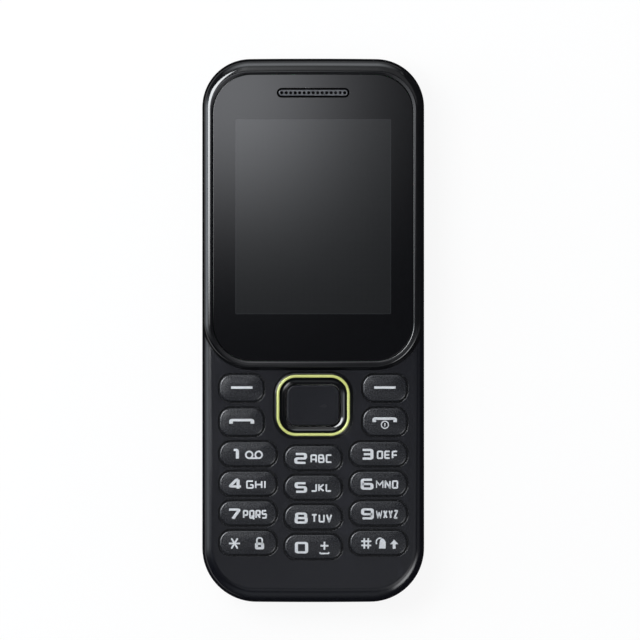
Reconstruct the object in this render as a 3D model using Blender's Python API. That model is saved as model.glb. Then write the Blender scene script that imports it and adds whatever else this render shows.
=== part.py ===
# Bar phone, lying on its back: +X right, +Y towards the earpiece, +Z out of the face.
# Lengths are in metres and angles in radians. The origin is the middle of the rest face.

import bpy
import bmesh
from math import atan2, cos, pi, radians, sin, sqrt
from mathutils import Matrix, Vector

# Case outline and stack
case_width = 0.0460
case_length = 0.1127
case_thickness = 0.0131
corner_top = 0.0100
corner_bottom = 0.0112
end_bow = 0.00022
wall = 0.0013
seam = 0.0002
fit_gap = 0.00015
slide_gap = 0.00025
overrun = 0.002
corner_steps = 6
end_steps = 3
nav_steps = 5

# Battery cover
cover_height = 0.0038
cover_wall = 0.0010
cover_floor = 0.0010
rear_round_width = 0.0030
rear_round_height = 0.0036
rear_round_steps = 5
nail_notch_width = 0.0090
nail_notch_depth = 0.0006
nail_notch_height = 0.0010
sound_slot_count = 5
sound_slot_pitch = 0.0019
sound_slot_width = 0.0009
sound_slot_length = 0.0080
cover_tab_length = 0.0050
cover_tab_height = 0.0009
cover_tab_thickness = 0.0005
cover_tab_setback = 0.00045
cover_tab_shares = (-0.62, 0.0, 0.62)

# Rear housing
band_height = 0.0047
core_floor = 0.0008
bay_floor_thickness = 0.0005
bay_wall = 0.0009
lower_pocket_side_wall = 0.0075
upper_pocket_side_wall = 0.0056
pocket_corner = 0.0015
end_pocket_wall = 0.0021

# Front housing
deck_drop = 0.0010
deck_thickness = 0.0011
deck_round_width = 0.0019
deck_round_end = 0.0032
deck_round_height = 0.0025
deck_round_steps = 5
rim_setback = 0.00002
rim_round_width = 0.00145
rim_round_end = 0.0020
rim_round_height = 0.0021
rim_lip_drop = 0.0002
collar_width = 0.0010
collar_foot = 0.0009
collar_foot_shares = (1.0, 1.0, 1.0, 0.42, 0.17, 0.0)
ceiling_chamfer = 0.0008
display_pocket_margin = 0.0010

# Display window and display
window_side_band = 0.00215
window_top_band = 0.00315
window_corner = 0.0081
window_drop = 0.00025
window_thickness = 0.0010
window_bevel = 0.0002
window_bow = 0.00012
bed_thickness = 0.0005
screen_height = 0.0404
screen_side_band = 0.0047
screen_top_band = 0.00944
screen_bottom_band = 0.00981
screen_opening_margin = 0.0006
screen_opening_corner = 0.0004
lcd_side_border = 0.00135
lcd_top_border = 0.0022
lcd_bottom_border = 0.0045
lcd_thickness = 0.0023
lcd_frame_wall = 0.0006
lcd_frame_floor = 0.0007
lcd_corner = 0.0006
ribbon_width = 0.0120
ribbon_thickness = 0.00015
ribbon_reach = 0.0042
ribbon_bend_shares = (0.25, 0.45, 0.65)

# Earpiece
earpiece_top_band = 0.00396
slot_length = 0.01506
slot_height = 0.0020
grille_gap = 0.00012
grille_bar_height = 0.00125
grille_flange_height = 0.00035
grille_drop = 0.0001
grille_hole_count = 15
grille_hole_pitch = 0.000931
grille_hole_diameter = 0.00054
grille_hole_sides = 6
sound_path_height = 0.0010
earpiece_length = 0.0110
earpiece_width = 0.0056
earpiece_height = 0.0021
earpiece_corner = 0.0015
earpiece_step = 0.0004

# Keys
key_rise = 0.0007
key_gap = 0.00025
key_corner_share = 0.4375
key_travel = 0.0003
key_flange_reach = 0.0002
key_flange_thickness = 0.0005
key_flange_gap = 0.0001
key_draft = 0.00005
key_edge_bevel = 0.00022
key_crown_inset = 0.0006
key_crown_drop = 0.00016
plunger_length = 0.0026
plunger_width = 0.0016
key_side_margin = 0.003725
key_top_margin = 0.00094
key_bottom_margin = 0.00997
key_column_gap = 0.00195
soft_row_gap = 0.0016
call_row_gap = 0.00149
number_row_gap = 0.00133
middle_column_drop = 0.00082
soft_key_height_share = 0.1767
call_key_height_share = 0.1833
number_key_height_share = 0.16
number_row_count = 4

# Navigation key and OK key
nav_width_share = 0.3333
nav_side_gap = 0.00272
nav_end_reach = 0.0002
nav_lowering = 0.00004
nav_corner_share = 0.64
nav_flank = 0.00035
nav_shoulder_share = 0.7
nav_shoulder_drop_share = 0.3
nav_lip_drop_share = 0.5
nav_gap = 0.0003
nav_flange_reach = 0.0003
nav_flange_thickness = 0.0004
nav_flange_gap = 0.00035
nav_rise = 0.00085
trim_width = 0.00065
trim_depth = 0.0007
trim_rise = 0.0001
trim_gap = 0.00006
trim_round_share = 0.25
nav_inner_drop = 0.0011
nav_inner_thickness = 0.0005
cove_bend_share = 0.45
cove_bend_rise_share = 0.3
cove_floor_share = 0.8
nav_tilt = radians(2.0)
nav_pad_thickness = 0.0003
nav_pad_nub = 0.0008
ok_band_share = 0.35
ok_corner_share = 0.43
ok_rise = 0.0005
ok_gap = 0.0003

# Keypad mat and dome sheet
mat_side_band = 0.0026
mat_top_wall = 0.0013
mat_bottom_wall = 0.0011
mat_corner = 0.0030
mat_web_thickness = 0.00055
mat_rim_width = 0.0005
mat_rim_top_gap = 0.00025
mat_hole_gap = 0.0003
press_gap = 0.0001
dome_sheet_thickness = 0.00015
dome_height = 0.0002
dome_radius_share = 0.326
dome_crown_share = 0.45
dome_sides = 8
nav_dome_inset = 0.0010
nav_dome_radius = 0.0013

# Main board and its parts
board_thickness = 0.0008
board_inset = 0.0019
board_under_gap = 0.0001
can_height = 0.0010
can_corner = 0.0008
can_side_gap = 0.0012
can_middle_gap = 0.0010
can_end_gap = 0.0019
can_holder_gap = 0.0035
holder_height = 0.0014
sim_length = 0.0190
card_length = 0.0120
holder_rim = 0.0012
holder_recess = 0.0006
holder_gap = 0.0003
jack_x = 0.0060
jack_width = 0.0062
jack_height = 0.0046
jack_length = 0.0120
jack_bore_diameter = 0.0036
jack_bore_length = 0.0105
jack_collar_diameter = 0.0044
jack_collar_length = 0.0010
jack_bevel = 0.0003
bore_sides = 16
usb_width = 0.0075
usb_height = 0.0025
usb_length = 0.0054
usb_shell = 0.0003
usb_bevel = 0.0006
usb_tongue_width = 0.0038
usb_tongue_height = 0.0006
usb_opening_margin = 0.00035
usb_opening_corner = 0.0007
mic_x = 0.0082
mic_end_inset = 0.00555
mic_radius = 0.0020
mic_height = 0.0011
mic_port_diameter = 0.0010

# Sound, vibration and radio parts
speaker_side_gap = 0.0014
speaker_end_inset = 0.01115
speaker_radius = 0.0065
speaker_height = 0.0036
speaker_cone_radius = 0.0050
speaker_cone_depth = 0.0005
mesh_thickness = 0.0002
mesh_margin = 0.0004
speaker_throat_radius = 0.0060
motor_radius = 0.0020
motor_length = 0.0080
motor_side_gap = 0.0006
motor_end_gap = 0.0010
shaft_radius = 0.0004
shaft_length = 0.0045
weight_radius = 0.0018
weight_length = 0.0032
weight_gap = 0.0005
weight_bore_gap = 0.00015
weight_hub_wall = 0.00065
antenna_side_gap = 0.0005
antenna_end_gap = 0.00125
antenna_height = 0.0024
antenna_depth = 0.0085
antenna_corner = 0.0020

# Battery and its connector
battery_side_band = 0.0060
battery_length = 0.0460
battery_thickness = 0.0044
battery_centre_y = -0.0010
battery_gap = 0.0003
battery_bevel = 0.0006
contact_block_width = 0.0080
contact_block_depth = 0.0026
contact_width = 0.0009
contact_pitch = 0.0024
contact_reach = 0.0004
contact_count = 3
contact_drop_share = 0.25
contact_inset = 0.00065

# Screws
screw_head_radius = 0.00115
screw_head_height = 0.0007
screw_shank_radius = 0.0006
screw_length = 0.0048
screw_hole_gap = 0.0002
screw_tab_thickness = 0.0014
screw_seat_z = 0.0049
boss_radius = 0.0014
boss_gap = 0.00025
screw_sides = 10
screw_crown_share = 0.8
screw_edge_share = 0.3
side_screw_inset = 0.0037
upper_screw_end_inset = 0.02235
middle_screw_gap = 0.00128
lower_screw_inset = 0.0055
lower_screw_end_inset = 0.00615

# Levels that follow from the stack
cover_rim_z = cover_height
core_z = cover_floor + slide_gap
band_z = cover_rim_z + seam
band_top_z = band_z + band_height
front_z = band_top_z + seam
deck_z = case_thickness - deck_drop
deck_under_z = deck_z - deck_thickness
window_z = case_thickness - window_drop
window_under_z = window_z - window_thickness
bed_z = window_under_z - fit_gap
bed_under_z = bed_z - bed_thickness
lcd_top_z = bed_under_z - fit_gap
lcd_z = lcd_top_z - lcd_thickness
battery_z = cover_floor + battery_gap
battery_top_z = battery_z + battery_thickness
bay_z = battery_top_z + battery_gap
bay_top_z = bay_z + bay_floor_thickness
can_z = bay_top_z + fit_gap
board_z = can_z + can_height + board_under_gap
board_top_z = board_z + board_thickness
board_seat_z = board_z - fit_gap
jack_z = lcd_z - fit_gap - jack_height / 2
dome_sheet_z = board_top_z + fit_gap
dome_top_z = dome_sheet_z + dome_sheet_thickness + dome_height
plunger_z = dome_top_z + key_travel + press_gap
key_flange_top_z = deck_under_z - key_flange_gap
key_flange_z = key_flange_top_z - key_flange_thickness
mat_web_top_z = key_flange_z - key_travel - press_gap
mat_web_z = mat_web_top_z - mat_web_thickness

# Places that follow from the case
half_width = case_width / 2
half_length = case_length / 2
window_half_width = half_width - window_side_band
window_top = half_length - window_top_band
screen_width = 2 * (window_half_width - screen_side_band)
screen_top_y = window_top - screen_top_band
screen_bottom_y = screen_top_y - screen_height
screen_centre_y = (screen_top_y + screen_bottom_y) / 2
window_bottom = screen_bottom_y - screen_bottom_band
earpiece_centre_y = window_top - earpiece_top_band

# Key rows share the length between the collar and the lower margin
key_top_y = window_bottom - collar_width - collar_foot - key_top_margin
key_bottom_y = key_bottom_margin - half_length
row_gaps = soft_row_gap + call_row_gap + (number_row_count - 1) * number_row_gap
key_rows_height = key_top_y - key_bottom_y - row_gaps
soft_key_height = key_rows_height * soft_key_height_share
call_key_height = key_rows_height * call_key_height_share
number_key_height = key_rows_height * number_key_height_share
soft_key_y = key_top_y - soft_key_height / 2
call_key_y = key_top_y - soft_key_height - soft_row_gap - call_key_height / 2
number_row_pitch = number_key_height + number_row_gap
number_row_top_y = call_key_y - call_key_height / 2 - call_row_gap - number_key_height / 2
key_corner = number_key_height * key_corner_share
number_key_width = (case_width - 2 * key_side_margin - 2 * key_column_gap) / 3
number_column_x = number_key_width + key_column_gap

# The navigation key stands beside the soft and call keys
upper_keys_height = soft_key_height + soft_row_gap + call_key_height
nav_centre_y = key_top_y - upper_keys_height / 2 - nav_lowering
nav_half_height = upper_keys_height / 2 + nav_end_reach
nav_half_width = half_width * nav_width_share
nav_corner = nav_half_height * nav_corner_share
ok_band = nav_half_height * ok_band_share
ok_half_width = nav_half_width - ok_band
ok_half_height = nav_half_height - ok_band
ok_corner = ok_half_height * ok_corner_share
soft_key_width = half_width - key_side_margin - nav_half_width - nav_side_gap
soft_key_x = half_width - key_side_margin - soft_key_width / 2
dome_radius = number_row_pitch * dome_radius_share

# The mat lies under all the keys
nav_mat_grow = nav_flank + nav_flange_reach + mat_hole_gap
mat_half_width = half_width - mat_side_band
mat_top_y = nav_centre_y + nav_half_height + nav_mat_grow + mat_top_wall
mat_bottom_y = key_bottom_y - middle_column_drop - mat_bottom_wall

# The battery bay, the pockets at its ends and what they hold
battery_width = case_width - 2 * battery_side_band
battery_top_y = battery_centre_y + battery_length / 2
battery_bottom_y = battery_centre_y - battery_length / 2
bay_top_y = battery_top_y + battery_gap
bay_bottom_y = battery_bottom_y - battery_gap
bay_half_width = battery_width / 2 + battery_gap
can_pocket_half_width = bay_half_width - fit_gap * 2
can_pocket_y0 = bay_bottom_y + bay_wall
can_pocket_y1 = bay_top_y - bay_wall
column_width = can_pocket_half_width - can_side_gap - can_middle_gap
column_x = can_middle_gap + column_width / 2
sim_y = can_pocket_y0 + can_end_gap + sim_length / 2
card_y = can_pocket_y0 + can_end_gap + card_length / 2
can_top_y = can_pocket_y1 - can_end_gap
upper_can_length = can_top_y - sim_y - sim_length / 2 - can_holder_gap
lower_can_length = can_top_y - card_y - card_length / 2 - can_holder_gap
upper_pocket_half_width = half_width - upper_pocket_side_wall
upper_pocket_y0 = bay_top_y + contact_block_depth + bay_wall * 2
upper_pocket_y1 = half_length - end_pocket_wall
lower_pocket_half_width = half_width - lower_pocket_side_wall
lower_pocket_y0 = end_pocket_wall + cover_wall - half_length
lower_pocket_y1 = bay_bottom_y - bay_wall
speaker_x = speaker_side_gap + speaker_radius - upper_pocket_half_width
speaker_y = half_length - speaker_end_inset
motor_x = lower_pocket_half_width - motor_side_gap - shaft_length - motor_length
motor_y = lower_pocket_y1 - motor_end_gap - motor_radius
antenna_half_width = lower_pocket_half_width - antenna_side_gap
antenna_front_y = lower_pocket_y0 + antenna_end_gap
mic_y = mic_end_inset - half_length

# Screw places
side_screw_x = half_width - side_screw_inset
lower_screw_x = half_width - lower_screw_inset
upper_screw_y = half_length - upper_screw_end_inset
middle_screw_y = mat_top_y + boss_radius + middle_screw_gap
lower_screw_y = lower_screw_end_inset - half_length
screw_places = {
    "screw_upper_left": (-side_screw_x, upper_screw_y),
    "screw_upper_right": (side_screw_x, upper_screw_y),
    "screw_middle_left": (-side_screw_x, middle_screw_y),
    "screw_middle_right": (side_screw_x, middle_screw_y),
    "screw_lower_left": (-lower_screw_x, lower_screw_y),
    "screw_lower_right": (lower_screw_x, lower_screw_y),
}

# Colours: red, green, blue, then roughness and metallic value
black_gloss = (0.012, 0.012, 0.014, 0.15, 0.0)
black_satin = (0.026, 0.026, 0.030, 0.45, 0.0)
key_black = (0.034, 0.034, 0.038, 0.42, 0.0)
window_black = (0.008, 0.008, 0.010, 0.05, 0.0)
lime = (0.73, 0.82, 0.26, 0.35, 0.0)
grille_grey = (0.30, 0.31, 0.33, 0.35, 0.6)
rubber_grey = (0.20, 0.20, 0.21, 0.8, 0.0)
board_green = (0.02, 0.16, 0.06, 0.45, 0.0)
steel = (0.60, 0.60, 0.62, 0.3, 1.0)
tin = (0.72, 0.72, 0.74, 0.35, 1.0)
gold = (0.83, 0.62, 0.26, 0.3, 1.0)
frame_white = (0.75, 0.75, 0.74, 0.5, 0.0)
panel_dark = (0.02, 0.022, 0.026, 0.1, 0.0)
film_clear = (0.60, 0.60, 0.58, 0.4, 0.0)
amber = (0.55, 0.30, 0.06, 0.4, 0.0)
battery_grey = (0.10, 0.10, 0.11, 0.5, 0.0)


def paint(piece, finish):
    """Give the piece a material of its own."""
    red, green, blue, roughness, metallic = finish
    material = bpy.data.materials.new(piece.name)
    material.use_nodes = True
    shader = material.node_tree.nodes["Principled BSDF"]
    shader.inputs["Base Color"].default_value = (red, green, blue, 1.0)
    shader.inputs["Roughness"].default_value = roughness
    shader.inputs["Metallic"].default_value = metallic
    piece.data.materials.append(material)


def arc(centre_x, centre_y, radius, start, end, steps):
    """Points along an arc, both ends included."""
    angles = [start + (end - start) * k / steps for k in range(steps + 1)]
    return [(centre_x + radius * cos(a), centre_y + radius * sin(a)) for a in angles]


def end_curve(half, reach, corner, bow):
    """One bowed end with its two corners, from the right side over to the left side."""
    end_radius = (half * half + bow * bow) / (2 * bow)
    end_centre = reach - end_radius
    corner_x = half - corner
    corner_y = end_centre + sqrt((end_radius - corner) ** 2 - corner_x ** 2)
    turn = atan2(corner_y - end_centre, corner_x)
    right = arc(corner_x, corner_y, corner, 0, turn, corner_steps)
    middle = arc(0, end_centre, end_radius, turn, pi - turn, end_steps)[1:-1]
    left = arc(-corner_x, corner_y, corner, pi - turn, pi, corner_steps)
    return right + middle + left


def bowed_outline(half, top, bottom, top_corner, bottom_corner, bow):
    """A closed outline with straight sides and two bowed ends, counterclockwise."""
    upper = end_curve(half, top, top_corner, bow)
    lower = [(-x, -y) for x, y in end_curve(half, -bottom, bottom_corner, bow)]
    return upper + lower


def case_outline(side, top=None, bottom=None):
    """The case outline drawn in by the given distances."""
    top = side if top is None else top
    bottom = side if bottom is None else bottom
    return bowed_outline(half_width - side, half_length - top, bottom - half_length,
                         corner_top - (side + top) / 2, corner_bottom - (side + bottom) / 2, end_bow)


def window_outline(grow):
    """The window outline grown by the given distance."""
    return bowed_outline(window_half_width + grow, window_top + grow, window_bottom - grow,
                         window_corner + grow, window_corner + grow, window_bow)


def box_outline(centre_x, centre_y, half_x, half_y, corner, steps=corner_steps):
    """A rectangle with round corners, counterclockwise from its right side."""
    points = []
    for turn, sign_x, sign_y in ((0, 1, 1), (1, -1, 1), (2, -1, -1), (3, 1, -1)):
        x = centre_x + sign_x * (half_x - corner)
        y = centre_y + sign_y * (half_y - corner)
        points += arc(x, y, corner, turn * pi / 2, (turn + 1) * pi / 2, steps)
    return points


def slot_outline(centre_x, centre_y, length, height, steps=corner_steps):
    """A slot with round ends, along X."""
    reach = (length - height) / 2
    right = arc(centre_x + reach, centre_y, height / 2, -pi / 2, pi / 2, steps)
    left = arc(centre_x - reach, centre_y, height / 2, pi / 2, 3 * pi / 2, steps)
    return right + left


def level(outline, z):
    """An outline's points at one height."""
    return [(x, y, z) for x, y in outline]


def new_piece(name, bm):
    """Turn a bmesh into an object of the given name."""
    bmesh.ops.recalc_face_normals(bm, faces=bm.faces)
    mesh = bpy.data.meshes.new(name)
    bm.to_mesh(mesh)
    bm.free()
    piece = bpy.data.objects.new(name, mesh)
    bpy.context.collection.objects.link(piece)
    piece.parent = phone
    return piece


def loft(name, rings):
    """A closed solid through rings of points, capped at the first and the last."""
    bm = bmesh.new()
    loops = [[bm.verts.new(point) for point in ring] for ring in rings]
    for lower, upper in zip(loops, loops[1:]):
        for k in range(len(lower)):
            after = (k + 1) % len(lower)
            bm.faces.new((lower[k], lower[after], upper[after], upper[k]))
    bm.faces.new(list(reversed(loops[0])))
    bm.faces.new(loops[-1])
    return new_piece(name, bm)


def ring_loft(name, rings):
    """A closed ring through rings of points, the last joined to the first."""
    bm = bmesh.new()
    loops = [[bm.verts.new(point) for point in ring] for ring in rings]
    for lower, upper in zip(loops, loops[1:] + loops[:1]):
        for k in range(len(lower)):
            after = (k + 1) % len(lower)
            bm.faces.new((lower[k], lower[after], upper[after], upper[k]))
    return new_piece(name, bm)


def slab(name, outline, bottom, top):
    """An upright prism on an outline."""
    return loft(name, [level(outline, bottom), level(outline, top)])


def block(name, x0, x1, y0, y1, z0, z1):
    """A plain box between two corners."""
    return slab(name, [(x1, y0), (x1, y1), (x0, y1), (x0, y0)], z0, z1)


def drum(name, centre, radius, length, axis, sides):
    """A cylinder about a point, along X, Y or Z."""
    bm = bmesh.new()
    bmesh.ops.create_cone(bm, cap_ends=True, segments=sides, radius1=radius, radius2=radius, depth=length)
    turn = {"X": Matrix.Rotation(pi / 2, 4, "Y"), "Y": Matrix.Rotation(pi / 2, 4, "X"),
            "Z": Matrix.Identity(4)}[axis]
    bmesh.ops.transform(bm, matrix=Matrix.Translation(centre) @ turn, verts=bm.verts)
    return new_piece(name, bm)


def boolean(piece, tool, operation):
    """Join or cut a piece with a tool, which stays as a hidden guide."""
    tool.hide_render = True
    tool.display_type = "WIRE"
    change = piece.modifiers.new(tool.name, "BOOLEAN")
    change.operation = operation
    change.solver = "EXACT"
    change.object = tool


def cut(piece, *tools):
    for tool in tools:
        boolean(piece, tool, "DIFFERENCE")


def join(piece, *tools):
    for tool in tools:
        boolean(piece, tool, "UNION")


def soften(piece, width, segments=1):
    """Bevel the piece's sharp edges."""
    change = piece.modifiers.new("edge_bevel", "BEVEL")
    change.width = width
    change.segments = segments
    change.limit_method = "ANGLE"


def smooth(piece):
    piece.data.shade_smooth()
    piece.data.set_sharp_from_angle(angle=radians(35))


def set_origin(piece, place):
    """Put the piece's origin on its joint without moving the piece."""
    piece.data.transform(Matrix.Translation(-Vector(place)))
    piece.location = place


def rear_inset(z):
    """How far the rounded back edge draws in at a height."""
    if z >= rear_round_height:
        return 0
    return rear_round_width * (1 - sqrt(1 - (1 - z / rear_round_height) ** 2))


def round_heights(start, end, steps):
    """Heights along the rounded back edge, closer together near the back."""
    return [start + (end - start) * (1 - cos(k / steps * pi / 2)) for k in range(steps + 1)]


# Battery cover
def build_battery_cover():
    outer_heights = round_heights(0, rear_round_height, rear_round_steps) + [cover_rim_z]
    outer = [level(case_outline(rear_inset(z)), z) for z in outer_heights]
    inner_heights = round_heights(cover_floor, cover_rim_z, rear_round_steps)
    inner = [level(case_outline(rear_inset(z) + cover_wall), z) for z in reversed(inner_heights)]
    cover = loft("battery_cover", outer + inner)
    for k in range(sound_slot_count):
        y = speaker_y + (k - (sound_slot_count - 1) / 2) * sound_slot_pitch
        outline = slot_outline(speaker_x, y, sound_slot_length, sound_slot_width, end_steps)
        cut(cover, slab(f"sound_slot_tool_{k}", outline, -overrun, cover_floor + overrun))
    notch = box_outline(0, -half_length, nail_notch_width / 2, nail_notch_depth, nail_notch_depth / 2, end_steps)
    cut(cover, slab("nail_notch_tool", notch, cover_rim_z - nail_notch_height, cover_rim_z + overrun))
    for side in (-1, 1):
        for k, share in enumerate(cover_tab_shares):
            tab = cover_tab(f"cover_tab_{side}_{k}", side, share, 0, cover_rim_z - cover_floor / 2)
            join(cover, tab)
    smooth(cover)
    paint(cover, black_satin)


def cover_tab(name, side, share, gap, bottom):
    """A snap tab on the cover's side wall, or with a gap the pocket that takes it."""
    outer_x = side * (half_width - cover_tab_setback + gap)
    inner_x = outer_x - side * (cover_tab_thickness + 2 * gap)
    half = cover_tab_length / 2 + gap
    y = share * half_length
    return block(name, min(outer_x, inner_x), max(outer_x, inner_x), y - half, y + half,
                 bottom, cover_rim_z + cover_tab_height + gap)


# Rear housing, with the battery bay from below and the board's seat from above
def build_rear_housing():
    core_heights = round_heights(core_z, band_z, rear_round_steps)
    core_side = cover_wall + slide_gap
    rings = [level(case_outline(rear_inset(z) + core_side), z) for z in core_heights]
    rings += [level(case_outline(0), z) for z in (band_z, band_top_z)]
    rings += [level(case_outline(wall), z) for z in (band_top_z, board_seat_z)]
    housing = loft("rear_housing", rings)
    bay = box_outline(0, battery_centre_y, bay_half_width, battery_length / 2 + battery_gap,
                      battery_bevel + battery_gap, end_steps)
    cut(housing, slab("bay_tool", bay, core_z - overrun, bay_z))
    cut(housing, block("can_pocket_tool", -can_pocket_half_width, can_pocket_half_width,
                       can_pocket_y0, can_pocket_y1, bay_top_z, board_z + overrun))
    cut(housing, holder_window("sim_window_tool", -column_x, sim_y, column_width, sim_length),
        holder_window("card_window_tool", column_x, card_y, column_width, card_length))
    floor_z = core_z + core_floor
    upper = box_outline(0, (upper_pocket_y0 + upper_pocket_y1) / 2, upper_pocket_half_width,
                        (upper_pocket_y1 - upper_pocket_y0) / 2,
                        corner_top - end_pocket_wall - cover_wall, end_steps)
    lower = box_outline(0, (lower_pocket_y0 + lower_pocket_y1) / 2, lower_pocket_half_width,
                        (lower_pocket_y1 - lower_pocket_y0) / 2, pocket_corner, end_steps)
    cut(housing, slab("upper_pocket_tool", upper, floor_z, board_z + overrun),
        slab("lower_pocket_tool", lower, floor_z, board_z + overrun))
    connector_half = contact_block_width / 2 + fit_gap * 2
    cut(housing, block("connector_slot_tool", -connector_half, connector_half, can_pocket_y1 - overrun,
                       bay_top_y + contact_block_depth + fit_gap * 2,
                       battery_z + battery_thickness * contact_drop_share, board_z + overrun))
    cut(housing, drum("speaker_throat_tool", (speaker_x, speaker_y, core_z), speaker_throat_radius,
                      4 * core_floor, "Z", 2 * bore_sides))
    cut_ports(housing)
    for name, (x, y) in screw_places.items():
        hole = screw_shank_radius + screw_hole_gap
        tunnel = screw_head_radius + screw_hole_gap
        boss = boss_radius + boss_gap
        tab_z = screw_seat_z + screw_tab_thickness
        cut(housing, loft(f"{name}_tunnel_tool", screw_rings(x, y, (
            (tunnel, core_z - overrun), (tunnel, screw_seat_z), (hole, screw_seat_z),
            (hole, tab_z), (boss, tab_z), (boss, board_z + overrun)))))
    for side in (-1, 1):
        for k, share in enumerate(cover_tab_shares):
            cut(housing, cover_tab(f"tab_pocket_tool_{side}_{k}", side, share, fit_gap,
                                   cover_rim_z - overrun))
    smooth(housing)
    paint(housing, black_satin)


def screw_rings(x, y, profile):
    """Rings of a turned shape about a screw's axis, from pairs of radius and height."""
    return [level(arc(x, y, radius, 0, 2 * pi * (1 - 1 / screw_sides), screw_sides - 1), z)
            for radius, z in profile]


def holder_window(name, x, y, width, length):
    """The window in the bay floor that a card holder shows through."""
    half_x = width / 2 + holder_gap
    half_y = length / 2 + holder_gap
    return block(name, x - half_x, x + half_x, y - half_y, y + half_y, bay_z - overrun, bay_top_z + overrun)


def cut_ports(housing):
    """Openings for the headset jack, the USB port and the microphone."""
    cut(housing, drum("jack_opening_tool", (jack_x, half_length, jack_z),
                      jack_collar_diameter / 2, 2 * jack_length, "Y", bore_sides))
    pocket_half = jack_width / 2 + fit_gap * 2
    cut(housing, block("jack_pocket_tool", jack_x - pocket_half, jack_x + pocket_half,
                       half_length - wall - jack_length - fit_gap * 2, half_length - wall + fit_gap,
                       jack_z - jack_height / 2 - fit_gap, board_z + overrun))
    usb_z = board_z - board_under_gap - usb_height / 2
    half_x = usb_width / 2 + usb_opening_margin
    half_z = usb_height / 2 + usb_opening_margin
    outline = box_outline(0, usb_z, half_x, half_z, usb_opening_corner, end_steps)
    cut(housing, loft("usb_opening_tool", [[(x, y, z) for x, z in outline] for y in (
        usb_length + wall - half_length + fit_gap * 2, -half_length - overrun)]))
    cut(housing, drum("mic_port_tool", (mic_x, -half_length, board_z - mic_height / 2),
                      mic_port_diameter / 2, 4 * (end_pocket_wall + cover_wall), "Y", screw_sides))


# Front housing: deck shell, raised rim and collar, openings and screw bosses
def deck_profile():
    """Rings up the outer wall and over the deck's rounded edge, which is wider at the lower end."""
    rings = [level(case_outline(0), front_z)]
    for k in range(deck_round_steps + 1):
        turn = k / deck_round_steps * pi / 2
        side = deck_round_width * (1 - cos(turn))
        end = deck_round_end * (1 - cos(turn))
        z = deck_z - deck_round_height * (1 - sin(turn))
        rings.append(level(case_outline(side, side, end), z))
    return rings


def rim_ring(side, top, bottom_y, z):
    """One ring of the raised part round the window; its lower corners follow the window's."""
    corner = window_corner + (half_width - side) - window_half_width
    return level(bowed_outline(half_width - side, half_length - top, bottom_y,
                               corner_top - (side + top) / 2, corner, end_bow), z)


def build_rim():
    crest_y = window_bottom - collar_width
    foot_z = case_thickness - rim_round_height
    low = rim_setback
    rings = [rim_ring(low, low, crest_y - collar_foot, foot_z - deck_round_height / 2)]
    steps = len(collar_foot_shares) - 1
    for k, share in enumerate(collar_foot_shares):
        turn = k / steps * pi / 2
        side = low + (rim_round_width - low) * (1 - cos(turn))
        top = low + (rim_round_end - low) * (1 - cos(turn))
        z = foot_z + rim_round_height * sin(turn)
        rings.append(rim_ring(side, top, crest_y - collar_foot * share, z))
    rings.append(level(window_outline(fit_gap), case_thickness - rim_lip_drop))
    return loft("rim_tool", rings)


def build_front_housing():
    housing = loft("front_housing", deck_profile())
    rim = build_rim()
    join(housing, rim)
    cut(housing, loft("cavity_tool", [
        level(case_outline(wall), front_z - overrun), level(case_outline(wall), deck_under_z - ceiling_chamfer),
        level(case_outline(wall + ceiling_chamfer), deck_under_z)]))
    pocket_x = screen_width / 2 + lcd_side_border + display_pocket_margin
    pocket_y0 = screen_centre_y - screen_height / 2 - lcd_bottom_border - display_pocket_margin
    pocket_y1 = earpiece_centre_y + earpiece_width / 2 + display_pocket_margin / 2
    pocket = box_outline(0, (pocket_y0 + pocket_y1) / 2, pocket_x, (pocket_y1 - pocket_y0) / 2,
                         pocket_corner, end_steps)
    cut(housing, slab("display_pocket_tool", pocket, front_z - overrun, bed_under_z))
    cut(housing, slab("window_recess_tool", window_outline(fit_gap), bed_z, case_thickness + overrun))
    opening = box_outline(0, screen_centre_y, screen_width / 2 + screen_opening_margin,
                          screen_height / 2 + screen_opening_margin, screen_opening_corner, end_steps)
    cut(housing, slab("screen_opening_tool", opening, bed_under_z - overrun, bed_z + overrun))
    path = slot_outline(0, earpiece_centre_y, slot_length - slot_height, sound_path_height, end_steps)
    cut(housing, slab("sound_path_tool", path, bed_under_z - overrun, bed_z + overrun))
    for name, place in key_places().items():
        x, y, width, height = place
        hole = box_outline(x, y, width / 2 + key_gap, height / 2 + key_gap, key_corner + key_gap, end_steps)
        cut(housing, slab(f"{name}_opening_tool", hole, deck_under_z - overrun, case_thickness))
    grow = nav_flank + nav_gap
    hole = box_outline(0, nav_centre_y, nav_half_width + grow, nav_half_height + grow, nav_corner + grow, nav_steps)
    cut(housing, slab("nav_opening_tool", hole, deck_under_z - overrun, case_thickness))
    boss_z = screw_seat_z + screw_tab_thickness + fit_gap
    bore = screw_shank_radius + screw_hole_gap
    bore_top = screw_seat_z + screw_length + screw_hole_gap
    for name, (x, y) in screw_places.items():
        boss_top = (deck_under_z + deck_z) / 2 if y < mat_top_y else (bed_under_z + bed_z) / 2
        join(housing, loft(f"{name}_boss_tool", screw_rings(x, y, ((boss_radius, boss_z), (boss_radius, boss_top)))))
        cut(housing, loft(f"{name}_bore_tool", screw_rings(x, y, ((bore, boss_z - overrun), (bore, bore_top)))))
    smooth(housing)
    paint(housing, black_satin)


# Display window with the earpiece slot, and the grille in the slot
def build_window():
    low = window_outline(0)
    window = loft("display_window", [level(low, window_under_z), level(low, window_z - window_bevel),
                                     level(window_outline(-window_bevel), window_z)])
    slot = slot_outline(0, earpiece_centre_y, slot_length, slot_height)
    cut(window, slab("earpiece_slot_tool", slot, window_under_z - overrun, window_z + overrun))
    smooth(window)
    paint(window, window_black)


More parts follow.
